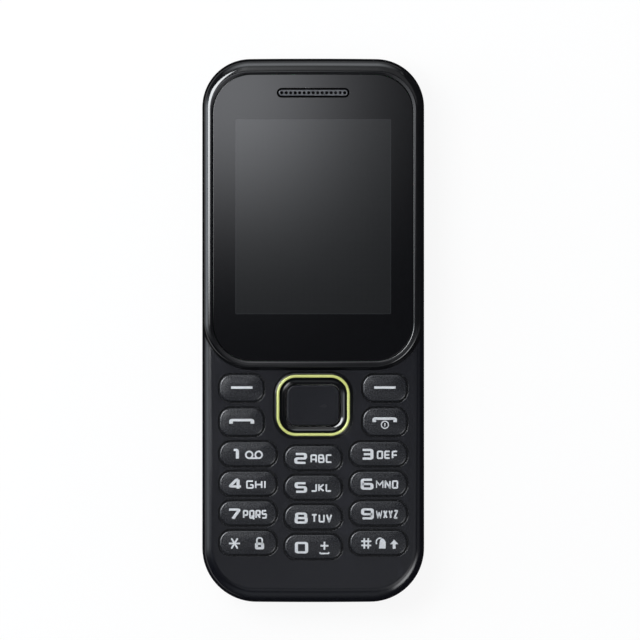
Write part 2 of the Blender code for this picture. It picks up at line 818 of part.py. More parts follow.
def build_grille():
    flange_length = slot_length - 2 * grille_gap
    flange_height = slot_height - 2 * grille_gap
    bar_length = flange_length - flange_height + grille_bar_height
    flange = slot_outline(0, earpiece_centre_y, flange_length, flange_height)
    bar = slot_outline(0, earpiece_centre_y, bar_length, grille_bar_height)
    shoulder_z = window_under_z + grille_flange_height
    grille = loft("earpiece_grille", [level(flange, window_under_z), level(flange, shoulder_z),
                                      level(bar, shoulder_z), level(bar, window_z - grille_drop)])
    for k in range(grille_hole_count):
        x = (k - (grille_hole_count - 1) / 2) * grille_hole_pitch
        cut(grille, drum(f"grille_hole_tool_{k}", (x, earpiece_centre_y, window_z),
                         grille_hole_diameter / 2, 4 * window_thickness, "Z", grille_hole_sides))
    smooth(grille)
    paint(grille, grille_grey)


def build_earpiece():
    top_z = bed_under_z - fit_gap
    base = box_outline(0, earpiece_centre_y, earpiece_length / 2, earpiece_width / 2, earpiece_corner, end_steps)
    lip = box_outline(0, earpiece_centre_y, earpiece_length / 2 - earpiece_step,
                      earpiece_width / 2 - earpiece_step, earpiece_corner - earpiece_step, end_steps)
    speaker = loft("earpiece_speaker", [
        level(base, top_z - earpiece_height), level(base, top_z - earpiece_step),
        level(lip, top_z - earpiece_step), level(lip, top_z)])
    smooth(speaker)
    paint(speaker, steel)


# Display frame, panel and ribbon
def display_outline(grow):
    half_x = screen_width / 2 + lcd_side_border + grow
    y0 = screen_centre_y - screen_height / 2 - lcd_bottom_border - grow
    y1 = screen_centre_y + screen_height / 2 + lcd_top_border + grow
    return box_outline(0, (y0 + y1) / 2, half_x, (y1 - y0) / 2, lcd_corner + grow, end_steps)


def build_display():
    floor_z = lcd_z + lcd_frame_floor
    frame = loft("lcd_frame", [level(display_outline(0), lcd_z), level(display_outline(0), lcd_top_z),
                               level(display_outline(-lcd_frame_wall / 2), lcd_top_z),
                               level(display_outline(-lcd_frame_wall / 2), floor_z)])
    smooth(frame)
    paint(frame, frame_white)
    inner = display_outline(-lcd_frame_wall / 2 - fit_gap)
    panel = slab("lcd_panel", inner, floor_z + fit_gap, lcd_top_z - fit_gap)
    smooth(panel)
    paint(panel, panel_dark)


def build_ribbon():
    """A flat ribbon that steps down from the display's lower end to the board."""
    start_y = screen_centre_y - screen_height / 2 - lcd_bottom_border - fit_gap
    high_z = lcd_z + lcd_frame_floor
    low_z = board_top_z + fit_gap
    bend_start, bend_middle, bend_end = [start_y - ribbon_reach * share for share in ribbon_bend_shares]
    line = [(start_y, high_z), (bend_start, high_z), (bend_middle, (high_z + low_z) / 2),
            (bend_end, low_z), (start_y - ribbon_reach, low_z)]
    outline = line + [(y, z + ribbon_thickness) for y, z in reversed(line)]
    half = ribbon_width / 2
    ribbon = loft("lcd_ribbon", [[(x, y, z) for y, z in outline] for x in (-half, half)])
    paint(ribbon, amber)


# Keys
def key_places():
    """Centre, width and height of each key that slides in its own opening."""
    places = {
        "key_soft_left": (-soft_key_x, soft_key_y, soft_key_width, soft_key_height),
        "key_soft_right": (soft_key_x, soft_key_y, soft_key_width, soft_key_height),
        "key_call": (-soft_key_x, call_key_y, soft_key_width, call_key_height),
        "key_end": (soft_key_x, call_key_y, soft_key_width, call_key_height),
    }
    rows = (("1", "2", "3"), ("4", "5", "6"), ("7", "8", "9"), ("star", "0", "hash"))
    for row, names in enumerate(rows):
        for column, name in enumerate(names):
            x = (column - 1) * number_column_x
            drop = middle_column_drop if column == 1 else 0
            y = number_row_top_y - row * number_row_pitch - drop
            places[f"key_{name}"] = (x, y, number_key_width, number_key_height)
    return places


def build_key(name, x, y, width, height):
    """A cap with a flange under the deck, a bevelled edge, a flat crown and a plunger."""
    def ring(grow, z):
        return level(box_outline(x, y, width / 2 + grow, height / 2 + grow, key_corner + grow, end_steps), z)

    flange = key_gap + key_flange_reach
    top_z = deck_z + key_rise
    edge_z = top_z - key_crown_drop - key_edge_bevel
    key = loft(name, [
        ring(flange, key_flange_z), ring(flange, key_flange_top_z), ring(0, key_flange_top_z),
        ring(-key_draft, edge_z), ring(-key_draft - key_edge_bevel, top_z - key_crown_drop),
        ring(-key_draft - key_crown_inset, top_z)])
    join(key, plunger(f"{name}_plunger_tool", x, y))
    set_origin(key, (x, y, key_flange_z))
    smooth(key)
    paint(key, key_black)


def plunger(name, x, y):
    half_x = plunger_length / 2
    half_y = plunger_width / 2
    return block(name, x - half_x, x + half_x, y - half_y, y + half_y,
                 plunger_z, key_flange_z + key_flange_thickness / 2)


def build_ok_key():
    def ring(grow, z):
        return level(box_outline(0, nav_centre_y, ok_half_width + grow, ok_half_height + grow,
                                 ok_corner + grow, end_steps), z)

    top_z = deck_z + ok_rise
    key = loft("key_ok", [ring(0, key_flange_z), ring(0, top_z - key_edge_bevel),
                          ring(-key_edge_bevel, top_z)])
    join(key, plunger("key_ok_plunger_tool", 0, nav_centre_y))
    set_origin(key, (0, nav_centre_y, key_flange_z))
    smooth(key)
    paint(key, key_black)


def nav_ring_at(inset, z):
    return level(box_outline(0, nav_centre_y, nav_half_width - inset, nav_half_height - inset,
                             nav_corner - inset, nav_steps), z)


def build_navigation():
    """The rocking ring: a flanged wall, a seat for the trim and a cove down to the OK key."""
    pivot = (0, nav_centre_y, deck_under_z - nav_flange_gap)
    flange_top = deck_under_z - nav_flange_gap
    flange_z = flange_top - nav_flange_thickness
    crest = deck_z + nav_rise
    trim_top = crest + trim_rise
    seat = trim_top - trim_depth
    inner = ok_band - ok_gap
    cove = deck_z + nav_rise - nav_inner_drop
    cove_width = inner - trim_width
    flange = -nav_flank - nav_flange_reach
    profile = [
        (flange, flange_z), (flange, flange_top), (-nav_flank, flange_top),
        (-nav_flank, crest - nav_flank),
        (-nav_flank * nav_shoulder_share, crest - nav_flank * nav_shoulder_drop_share), (-trim_gap, crest),
        (-trim_gap, seat - trim_gap), (trim_width + trim_gap, seat - trim_gap),
        (trim_width + trim_gap, crest - nav_flank * nav_lip_drop_share),
        (trim_width + cove_width * cove_bend_share, cove + (crest - cove) * cove_bend_rise_share),
        (trim_width + cove_width * cove_floor_share, cove), (inner, cove),
        (inner, cove - nav_inner_thickness), (trim_width, flange_z)]
    ring = ring_loft("nav_ring", [nav_ring_at(inset, z) for inset, z in profile])
    trim_round = trim_width * trim_round_share
    trim_profile = [
        (0, seat), (0, trim_top - trim_round), (trim_round, trim_top),
        (trim_width - trim_round, trim_top), (trim_width, trim_top - trim_round), (trim_width, seat)]
    trim = ring_loft("nav_trim", [nav_ring_at(inset, z) for inset, z in trim_profile])
    ridge_top = flange_z - fit_gap
    pad_top = ridge_top - sin(nav_tilt) * (nav_half_width - flange)
    pad_z = pad_top - nav_pad_thickness
    pad_middle = (pad_z + pad_top) / 2
    pad_profile = [(-nav_flank, pad_z), (-nav_flank, pad_top), (inner, pad_top), (inner, pad_z)]
    pad = ring_loft("nav_pad", [nav_ring_at(inset, z) for inset, z in pad_profile])
    nub_z = dome_top_z + sin(nav_tilt) * nav_half_width + press_gap
    for k, (x, y) in enumerate(nav_dome_places()):
        join(pad, nav_nub(f"nav_nub_tool_{k}", x, y, nub_z, pad_middle))
        if x == 0:
            join(pad, nav_nub(f"nav_ridge_tool_{k}", x, y, pad_middle, ridge_top))
    for piece, finish in ((ring, black_gloss), (trim, lime), (pad, rubber_grey)):
        set_origin(piece, pivot)
        smooth(piece)
        paint(piece, finish)


def nav_nub(name, x, y, bottom, top):
    """A square nub under a press point, or the ridge on the middle line that the ring rocks on."""
    return block(name, x - nav_pad_nub, x + nav_pad_nub, y - nav_pad_nub, y + nav_pad_nub, bottom, top)


def nav_dome_places():
    reach_x = nav_half_width - nav_dome_inset
    reach_y = nav_half_height - nav_dome_inset
    return ((reach_x, nav_centre_y), (-reach_x, nav_centre_y),
            (0, nav_centre_y + reach_y), (0, nav_centre_y - reach_y))


# Keypad mat and dome sheet
def build_mat():
    """A silicone web with a rim, open round each plunger and under the navigation key."""
    def ring(inset, z):
        return level(box_outline(0, (mat_top_y + mat_bottom_y) / 2, mat_half_width - inset,
                                 (mat_top_y - mat_bottom_y) / 2 - inset, mat_corner - inset), z)

    rim_z = deck_under_z - mat_rim_top_gap
    foot_z = dome_sheet_z + dome_sheet_thickness + fit_gap
    mat = loft("keypad_mat", [
        ring(mat_rim_width, mat_web_z), ring(mat_rim_width, foot_z), ring(0, foot_z), ring(0, rim_z),
        ring(mat_rim_width, rim_z), ring(mat_rim_width, mat_web_top_z)])
    for name, (x, y, width, height) in key_places().items():
        half_x = plunger_length / 2 + mat_hole_gap
        half_y = plunger_width / 2 + mat_hole_gap
        cut(mat, block(f"{name}_mat_tool", x - half_x, x + half_x, y - half_y, y + half_y,
                       mat_web_z - overrun / 2, mat_web_top_z + overrun / 2))
    hole = box_outline(0, nav_centre_y, nav_half_width + nav_mat_grow, nav_half_height + nav_mat_grow,
                       nav_corner + nav_mat_grow, end_steps)
    cut(mat, slab("nav_mat_tool", hole, mat_web_z - overrun / 2, mat_web_top_z + overrun / 2))
    smooth(mat)
    paint(mat, rubber_grey)


def build_dome_sheet():
    """A film over the board with one low metal dome under each press point."""
    top_z = dome_sheet_z + dome_sheet_thickness
    half_y = (mat_top_y - mat_bottom_y) / 2
    outline = box_outline(0, (mat_top_y + mat_bottom_y) / 2, mat_half_width, half_y, mat_corner, end_steps)
    sheet = slab("dome_sheet", outline, dome_sheet_z, top_z)
    places = [(x, y, dome_radius) for x, y, width, height in key_places().values()]
    places.append((0, nav_centre_y, dome_radius))
    places += [(x, y, nav_dome_radius) for x, y in nav_dome_places()]
    for k, (x, y, radius) in enumerate(places):
        crown = radius * dome_crown_share
        last = 2 * pi * (1 - 1 / dome_sides)
        rings = [level(arc(x, y, r, 0, last, dome_sides - 1), z)
                 for r, z in ((radius, top_z - dome_sheet_thickness / 2), (radius, top_z), (crown, dome_top_z))]
        join(sheet, loft(f"dome_tool_{k}", rings))
    smooth(sheet)
    paint(sheet, film_clear)


# Main board and what it carries
def build_board():
    board = slab("main_board", case_outline(board_inset), board_z, board_top_z)
    for name, (x, y) in screw_places.items():
        clear = boss_radius + boss_gap
        side = 1 if x > 0 else -1
        reach = side * (half_width - abs(x))
        x0, x1 = sorted((x - side * clear, x + reach))
        cut(board, slab(f"{name}_board_tool", box_outline(
            (x0 + x1) / 2, y, (x1 - x0) / 2, clear, clear - fit_gap, end_steps),
            board_z - overrun, board_top_z + overrun))
    half = jack_width / 2 + fit_gap * 2
    cut(board, block("jack_board_tool", jack_x - half, jack_x + half,
                     half_length - wall - jack_length - fit_gap * 2, half_length,
                     board_z - overrun, board_top_z + overrun))
    paint(board, board_green)


def build_cans():
    for name, x, length in (("shield_can_upper", -column_x, upper_can_length),
                            ("shield_can_lower", column_x, lower_can_length)):
        outline = box_outline(x, can_top_y - length / 2, column_width / 2, length / 2, can_corner, end_steps)
        can = slab(name, outline, can_z, can_z + can_height)
        smooth(can)
        paint(can, tin)


def build_holders():
    top_z = board_z - board_under_gap
    bottom_z = top_z - holder_height
    for name, x, y, length in (("sim_holder", -column_x, sim_y, sim_length),
                               ("memory_card_holder", column_x, card_y, card_length)):
        outline = box_outline(x, y, column_width / 2, length / 2, can_corner, end_steps)
        holder = slab(name, outline, bottom_z, top_z)
        half_x = column_width / 2 - holder_rim
        half_y = length / 2 - holder_rim
        cut(holder, block(f"{name}_recess_tool", x - half_x, x + half_x, y - half_y, y + half_y,
                          bottom_z - overrun, bottom_z + holder_recess))
        smooth(holder)
        paint(holder, steel)


def build_jack():
    """A socket block with a round collar and a blind bore towards the top end."""
    z = jack_z
    front_y = half_length - wall
    half = jack_width / 2
    jack = block("headset_jack", jack_x - half, jack_x + half, front_y - jack_length, front_y,
                 z - jack_height / 2, z + jack_height / 2)
    soften(jack, jack_bevel)
    collar_y = front_y + jack_collar_length / 2
    join(jack, drum("jack_collar_tool", (jack_x, collar_y, z), jack_collar_diameter / 2 - fit_gap,
                    jack_collar_length + jack_bevel * 2, "Y", bore_sides))
    cut(jack, drum("jack_bore_tool", (jack_x, front_y, z), jack_bore_diameter / 2,
                   2 * jack_bore_length, "Y", bore_sides))
    smooth(jack)
    paint(jack, black_satin)


def build_usb():
    """A pressed shell that narrows towards the board's far side, with a tongue inside."""
    top_z = board_z - board_under_gap
    front_y = -half_length + wall / 2

    def outline(inset):
        half = usb_width / 2 - inset
        low = top_z - usb_height + inset
        high = top_z - inset
        return [(half, high), (-half, high), (-half, low + usb_bevel), (usb_bevel - half, low),
                (half - usb_bevel, low), (half, low + usb_bevel)]

    def ring(inset, y):
        return [(x, y, z) for x, z in outline(inset)]

    back_y = front_y + usb_length
    shell = loft("usb_port", [ring(usb_shell, back_y - usb_shell), ring(usb_shell, front_y),
                              ring(0, front_y), ring(0, back_y)])
    middle = top_z - usb_height / 2
    half = usb_tongue_width / 2
    join(shell, block("usb_tongue_tool", -half, half, front_y + usb_bevel, back_y - usb_shell / 2,
                      middle, middle + usb_tongue_height))
    paint(shell, steel)


def build_microphone():
    top_z = board_z - board_under_gap
    microphone = drum("microphone", (mic_x, mic_y, top_z - mic_height / 2), mic_radius, mic_height,
                      "Z", bore_sides)
    smooth(microphone)
    paint(microphone, tin)


# Loudspeaker, vibration motor and antenna
def build_loudspeaker():
    bottom_z = core_z + core_floor + fit_gap
    last = 2 * pi * (1 - 1 / (2 * bore_sides))

    def ring(radius, z):
        return level(arc(speaker_x, speaker_y, radius, 0, last, 2 * bore_sides - 1), z)

    cone_z = bottom_z + speaker_cone_depth
    speaker = loft("loudspeaker", [
        ring(speaker_cone_radius / 2, cone_z), ring(speaker_cone_radius, bottom_z),
        ring(speaker_radius, bottom_z), ring(speaker_radius, bottom_z + speaker_height)])
    smooth(speaker)
    paint(speaker, steel)
    mesh = drum("speaker_mesh", (speaker_x, speaker_y, bottom_z - fit_gap - mesh_thickness / 2),
                speaker_throat_radius - mesh_margin, mesh_thickness, "Z", 2 * bore_sides)
    smooth(mesh)
    paint(mesh, black_satin)


def build_motor():
    """A can motor along X with a half-round weight on its shaft."""
    z = board_z - board_under_gap - fit_gap - motor_radius
    motor = drum("vibration_motor", (motor_x + motor_length / 2, motor_y, z), motor_radius,
                 motor_length, "X", bore_sides)
    shaft_x = motor_x + motor_length
    join(motor, drum("shaft_tool", (shaft_x, motor_y, z), shaft_radius, 2 * shaft_length, "X", screw_sides))
    smooth(motor)
    paint(motor, tin)
    bore = shaft_radius + weight_bore_gap
    hub = bore + weight_hub_wall
    outline = arc(0, 0, weight_radius, 0, pi, bore_sides // 2) + arc(0, 0, hub, pi, 2 * pi, bore_sides // 2)
    weight_x = shaft_x + weight_gap
    weight = loft("vibration_weight", [[(x, motor_y + y, z - drop) for y, drop in outline]
                                       for x in (weight_x, weight_x + weight_length)])
    cut(weight, drum("weight_bore_tool", (weight_x + weight_length / 2, motor_y, z), bore,
                     2 * weight_length, "X", screw_sides))
    set_origin(weight, (weight_x, motor_y, z))
    smooth(weight)
    paint(weight, steel)


def build_antenna():
    z = core_z + core_floor + fit_gap
    centre_y = antenna_front_y + antenna_depth / 2
    outline = box_outline(0, centre_y, antenna_half_width, antenna_depth / 2, antenna_corner, end_steps)
    carrier = slab("antenna_carrier", outline, z, z + antenna_height)
    smooth(carrier)
    paint(carrier, frame_white)


# Battery and the contact block that it presses on
def build_battery():
    outline = box_outline(0, battery_centre_y, battery_width / 2, battery_length / 2, battery_bevel, end_steps)
    battery = slab("battery", outline, battery_z, battery_top_z)
    soften(battery, battery_bevel / 2)
    smooth(battery)
    paint(battery, battery_grey)
    y0 = bay_top_y + fit_gap
    y1 = bay_top_y + contact_block_depth
    half = contact_block_width / 2
    z0 = battery_z + battery_thickness * contact_drop_share + fit_gap
    z1 = board_z - board_under_gap
    connector = block("battery_connector", -half, half, y0, y1, z0, z1)
    for k in range(contact_count):
        x = (k - (contact_count - 1) / 2) * contact_pitch
        join(connector, block(f"contact_tool_{k}", x - contact_width / 2, x + contact_width / 2,
                              y0 - contact_reach + fit_gap, y0 + contact_reach,
                              z0 + contact_inset, battery_top_z - contact_inset))
    paint(connector, gold)


def build_screws():
    for name, (x, y) in screw_places.items():
        head_z = screw_seat_z - fit_gap - screw_head_height
        screw = loft(name, screw_rings(x, y, (
            (screw_head_radius * screw_crown_share, head_z),
            (screw_head_radius, head_z + screw_head_height * screw_edge_share),
            (screw_head_radius, head_z + screw_head_height), (screw_shank_radius, head_z + screw_head_height),
            (screw_shank_radius, screw_seat_z + screw_length))))
        smooth(screw)
        paint(screw, steel)


for leftover in list(bpy.data.objects):
    bpy.data.objects.remove(leftover)
phone = bpy.data.objects.new("phone", None)
bpy.context.collection.objects.link(phone)
build_battery_cover()
build_rear_housing()
build_front_housing()
build_window()
build_grille()
build_earpiece()
build_display()
build_ribbon()
for key_name, key_place in key_places().items():
    build_key(key_name, *key_place)
build_ok_key()
build_navigation()
build_mat()
build_dome_sheet()
build_board()
build_cans()
build_holders()
build_jack()
build_usb()
build_microphone()
build_loudspeaker()
build_motor()
build_antenna()
build_battery()
build_screws()
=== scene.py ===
from math import asin, atan2, cos, pi, radians, sin, sqrt

import bmesh
import bpy
import numpy as np
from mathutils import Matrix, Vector
from mathutils.geometry import delaunay_2d_cdt


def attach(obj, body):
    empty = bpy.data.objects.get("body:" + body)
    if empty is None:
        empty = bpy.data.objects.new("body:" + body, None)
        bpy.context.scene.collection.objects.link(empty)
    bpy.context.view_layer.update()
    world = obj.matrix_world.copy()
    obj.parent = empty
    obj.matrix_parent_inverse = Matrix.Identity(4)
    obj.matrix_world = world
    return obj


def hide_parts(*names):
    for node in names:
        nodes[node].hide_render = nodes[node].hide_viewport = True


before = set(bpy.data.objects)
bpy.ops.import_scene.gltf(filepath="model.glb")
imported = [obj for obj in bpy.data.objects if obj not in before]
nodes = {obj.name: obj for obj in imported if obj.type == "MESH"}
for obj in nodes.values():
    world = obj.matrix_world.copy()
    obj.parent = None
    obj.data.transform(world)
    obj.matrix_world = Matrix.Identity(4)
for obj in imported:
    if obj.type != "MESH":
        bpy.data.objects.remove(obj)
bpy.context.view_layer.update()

print("frame loaded:", len(nodes), "nodes")

# Lengths are in millimetres until a piece, a sheet or a pattern turns them into metres by mm.
# +X is the phone's right side, +Y its earpiece end, +Z comes out of its face.
mm = 0.001
caseForm = {"half": 23.0, "end": 56.35, "topCorner": 10.0, "lowCorner": 11.2, "bow": 0.22,
            "seamFront": 8.9, "deck": 12.1, "under": 11.0, "top": 13.1, "wall": 1.3}
windowForm = {"half": 20.85, "top": 53.2, "low": -6.4494, "corner": 8.1, "bow": 0.12}
cornerSteps, endSteps = 24, 12  # of a bowed end's corner arcs and of the shallow arc between them
edgeFlat = 0.02  # a narrow flat beside a rounded edge, which keeps the shading beyond it flat


# A point on an arc is its centre plus the radius times (cos a, sin a), a running evenly from start to end
def arcRun(centreX, centreY, radius, start, end, steps):
    turn = np.linspace(start, end, steps + 1)
    return np.column_stack([centreX + radius * np.cos(turn), centreY + radius * np.sin(turn)])


# One bowed end: a corner arc, a long shallow arc whose rise over the half width is the bow, the other corner
def bowedEnd(half, reach, corner, bow):
    endRadius = (half * half + bow * bow) / (2 * bow)
    endCentre = reach - endRadius
    cornerX = half - corner
    cornerY = endCentre + sqrt((endRadius - corner) ** 2 - cornerX ** 2)
    turn = atan2(cornerY - endCentre, cornerX)
    return np.concatenate([arcRun(cornerX, cornerY, corner, 0, turn, cornerSteps),
                           arcRun(0, endCentre, endRadius, turn, pi - turn, endSteps)[1:-1],
                           arcRun(-cornerX, cornerY, corner, pi - turn, pi, cornerSteps)])


# Straight sides and two bowed ends, counterclockwise
def bowedOutline(half, top, low, topCorner, lowCorner, bow):
    return np.concatenate([bowedEnd(half, top, topCorner, bow), -bowedEnd(half, -low, lowCorner, bow)])


# The case's outline drawn in by an inset at its sides, and by others at its ends where they are given
def caseOutline(side, top=None, low=None):
    top = side if top is None else top
    low = side if low is None else low
    c = caseForm
    return bowedOutline(c["half"] - side, c["end"] - top, low - c["end"],
                        c["topCorner"] - (side + top) / 2, c["lowCorner"] - (side + low) / 2, c["bow"])


# The window's outline, grown all round by a distance
def windowOutline(grow):
    w = windowForm
    return bowedOutline(w["half"] + grow, w["top"] + grow, w["low"] - grow, w["corner"] + grow,
                        w["corner"] + grow, w["bow"])


# A rectangle with four corner arcs
def boxOutline(x, y, halfX, halfY, corner, steps=10):
    inX, inY = halfX - corner, halfY - corner
    middles = ((x + inX, y + inY), (x - inX, y + inY), (x - inX, y - inY), (x + inX, y - inY))
    return np.concatenate([arcRun(middleX, middleY, corner, k * pi / 2, (k + 1) * pi / 2, steps)
                           for k, (middleX, middleY) in enumerate(middles)])


# A slot: two half circles a length apart
def slotOutline(x, y, length, height, steps=20):
    reach = (length - height) / 2
    return np.concatenate([arcRun(x + reach, y, height / 2, -pi / 2, pi / 2, steps),
                           arcRun(x - reach, y, height / 2, pi / 2, 3 * pi / 2, steps)])


# A circle without its last point, which is its first again
def circleOutline(x, y, radius, steps=24):
    return arcRun(x, y, radius, 0, 2 * pi, steps)[:-1]


# A flat outline lifted to a height
def atHeight(outline, z):
    return np.column_stack([outline, np.full(len(outline), float(z))])


# Quads between neighbouring rings, each ring closed on itself; loop joins the last ring to the first.
# A cap is a fan from a ring to its middle point. Skip leaves out a row's quads from one column to another
def loft(rings, loop=False, capStart=False, capEnd=False, skip=None, mark=0):
    rings = np.asarray(rings, float)
    rowCount, size = rings.shape[:2]
    rows = np.arange(rowCount if loop else rowCount - 1)[:, None]
    columns = np.arange(size)[None, :]
    after = (rows + 1) % rowCount
    beside = (columns + 1) % size
    quads = np.stack([rows * size + columns, rows * size + beside,
                      after * size + beside, after * size + columns], -1)
    keep = np.ones(quads.shape[:2], bool)
    if skip is not None:
        for row, first, last in skip:
            keep[row, first:last] = False
    faces = quads[keep].tolist()
    verts = rings.reshape(-1, 3)
    for wanted, base in ((capStart, 0), (capEnd, (rowCount - 1) * size)):
        if wanted:
            middle = len(verts)
            verts = np.vstack([verts, verts[base:base + size].mean(0)])
            ring = base + np.arange(size)
            fan = np.column_stack([ring, np.roll(ring, -1), np.full(size, middle)])
            faces += fan.tolist()
    return verts, faces, mark


# A flat region between an outer loop and holes, cut into triangles; lift turns its flat points into 3-D ones.
# A triangle stays where a ray from its middle crosses the loops an odd number of times.
def flatPatch(outer, holes, lift, mark=0):
    loops = [outer] + list(holes)
    edges = []
    start = 0
    for ring in loops:
        index = start + np.arange(len(ring))
        edges += np.column_stack([index, np.roll(index, -1)]).tolist()
        start += len(ring)
    points = [Vector(p) for p in np.concatenate(loops).tolist()]
    found = delaunay_2d_cdt(points, edges, [], 1, 1e-7)
    flat = np.array([tuple(p) for p in found[0]])
    triangles = np.array(found[2])
    px, py = flat[triangles].mean(1).T[:, :, None]
    ax, ay = np.concatenate(loops).T
    bx, by = np.concatenate([np.roll(ring, -1, 0) for ring in loops]).T
    reach = ax + (bx - ax) * (py - ay) / np.where(by == ay, 1, by - ay)
    crossed = ((ay > py) != (by > py)) & (px < reach)
    return lift(flat), triangles[crossed.sum(1) % 2 == 1].tolist(), mark


# The lift of a level patch
def liftTo(z):
    return lambda flat: atHeight(flat, z)


# Zero up to the start, one past it by the span, and 3 s squared minus 2 s cubed between
def smoothStep(value, start, span):
    share = np.clip((value - start) / span, 0, 1)
    return share ** 2 * (3 - 2 * share)


# A quarter of an ellipse from a wall over onto a flat: inset is width times (1 - cos t), height is rise
# times sin t, and one more row lies on the flat
def quarterRound(inset, z, width, rise, steps):
    t = np.linspace(0, pi / 2, steps + 1)
    rows = list(zip(inset + width * (1 - np.cos(t)), z + rise * np.sin(t)))
    return rows + [(inset + width + edgeFlat, z + rise)]


# The lip of an opening: one row on the flat, then a quarter circle from the flat down into the wall
def openingEdge(z, radius, steps):
    t = np.linspace(0, pi / 2, steps + 1)
    return [(-radius - edgeFlat, z)] + list(zip(-radius * (1 - np.sin(t)), z - radius * (1 - np.cos(t))))


# Rings of an outline that is drawn in by each row's inset and lifted to its height
def insetRings(outlineAt, rows):
    return [atHeight(outlineAt(-inset), z) for inset, z in rows]


# Rings about an axis along Y: each pair is a radius and a place on the axis
def turnedRings(x, z, pairs, steps=40):
    t = np.linspace(0, 2 * pi, steps, endpoint=False)
    return [np.column_stack([x + r * np.cos(t), np.full(steps, float(y)), z + r * np.sin(t)]) for r, y in pairs]


# A box with bevelled upper and lower edges and small round corners
def boxShell(x0, x1, y0, y1, z0, z1, edge=0.1, mark=0):
    x, y, halfX, halfY, corner = (x0 + x1) / 2, (y0 + y1) / 2, (x1 - x0) / 2, (y1 - y0) / 2, edge + 0.05
    outlineAt = lambda grow: boxOutline(x, y, halfX + grow, halfY + grow, corner + grow, 3)
    rows = [(edge, z0), (0, z0 + edge), (0, z1 - edge), (edge, z1)]
    return loft(insetRings(outlineAt, rows), capStart=True, capEnd=True, mark=mark)


finish = {}  # every material by its name


# A piece joins its parts, merges their doubles and turns its faces outward; a part's mark picks its material
def makePiece(name, parts, finishNames, body, stands=(), sharp=32):
    verts = np.concatenate([part[0] for part in parts]) * mm
    faces, marks, start = [], [], 0
    for partVerts, partFaces, mark in parts:
        faces += [[i + start for i in face] for face in partFaces]
        marks += [mark] * len(partFaces)
        start += len(partVerts)
    mesh = bpy.data.meshes.new(name)
    mesh.from_pydata(verts.tolist(), [], faces)
    mesh.polygons.foreach_set("material_index", marks)
    work = bmesh.new()
    work.from_mesh(mesh)
    bmesh.ops.remove_doubles(work, verts=work.verts, dist=3e-7)
    bmesh.ops.recalc_face_normals(work, faces=work.faces)
    work.to_mesh(mesh)
    work.free()
    for finishName in finishNames:
        mesh.materials.append(finish[finishName])
    mesh.shade_smooth()
    mesh.set_sharp_from_angle(angle=radians(sharp))
    piece = bpy.data.objects.new(name, mesh)
    bpy.context.scene.collection.objects.link(piece)
    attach(piece, body)
    if stands:
        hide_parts(*stands)
    return piece


def newFinish(name):
    material = bpy.data.materials.new(name)
    material.use_nodes = True
    tree = material.node_tree
    return material, tree, tree.nodes["Principled BSDF"]


# A node with its fields set; an input is a value, or another node's output that is linked to it
def addNode(tree, kind, inputs=None, **fields):
    node = tree.nodes.new(kind)
    for key, value in fields.items():
        setattr(node, key, value)
    for key, value in (inputs or {}).items():
        if isinstance(value, bpy.types.NodeSocket):
            tree.links.new(value, node.inputs[key])
        else:
            node.inputs[key].default_value = value
    return node


def objectPlace(tree):
    return addNode(tree, "ShaderNodeTexCoord").outputs["Object"]


# Noise whose cells are size millimetres across
def grainNoise(tree, size, detail, place):
    return addNode(tree, "ShaderNodeTexNoise",
                   {"Vector": place, "Scale": 1 / (size * mm), "Detail": detail}).outputs["Fac"]


# A value between two ends turned into one between two others, evenly or by a smooth step
def mapRange(tree, value, low, high, toLow, toHigh, smooth=False):
    kind = "SMOOTHSTEP" if smooth else "LINEAR"
    return addNode(tree, "ShaderNodeMapRange", {0: value, 1: low, 2: high, 3: toLow, 4: toHigh},
                   interpolation_type=kind).outputs[0]


def mixColour(tree, share, first, second):
    node = addNode(tree, "ShaderNodeMix", {"Factor": share}, data_type="RGBA")
    for key, value in ((6, first), (7, second)):
        if isinstance(value, bpy.types.NodeSocket):
            tree.links.new(value, node.inputs[key])
        else:
            node.inputs[key].default_value = (*value, 1.0)
    return node.outputs[2]


def mathNode(tree, operation, first, second=0.0):
    return addNode(tree, "ShaderNodeMath", {0: first, 1: second}, operation=operation).outputs[0]


# A height pattern becomes bumps that are depth millimetres deep
def bumpFrom(tree, shader, height, depth):
    bump = addNode(tree, "ShaderNodeBump", {"Height": height, "Distance": depth * mm, "Strength": 1.0})
    tree.links.new(bump.outputs["Normal"], shader.inputs["Normal"])


# Roughness drifts about its value as a noise runs
def driftFrom(tree, shader, noise, use):
    low, high = use["rough"] - use["drift"], use["rough"] + use["drift"]
    tree.links.new(mapRange(tree, noise, *noiseForm["span"], low, high), shader.inputs["Roughness"])


def shaded(colour, share):
    return tuple(c * share for c in colour)


# Most of a noise lies in its span, and edges wear in patches where the surface is that sharp
noiseForm = {"span": (0.3, 0.7), "tight": (0.35, 0.65), "wide": (0.35, 0.7), "wornAt": (0.52, 0.62),
             "leastWorn": 0.3, "tarnish": 0.72}


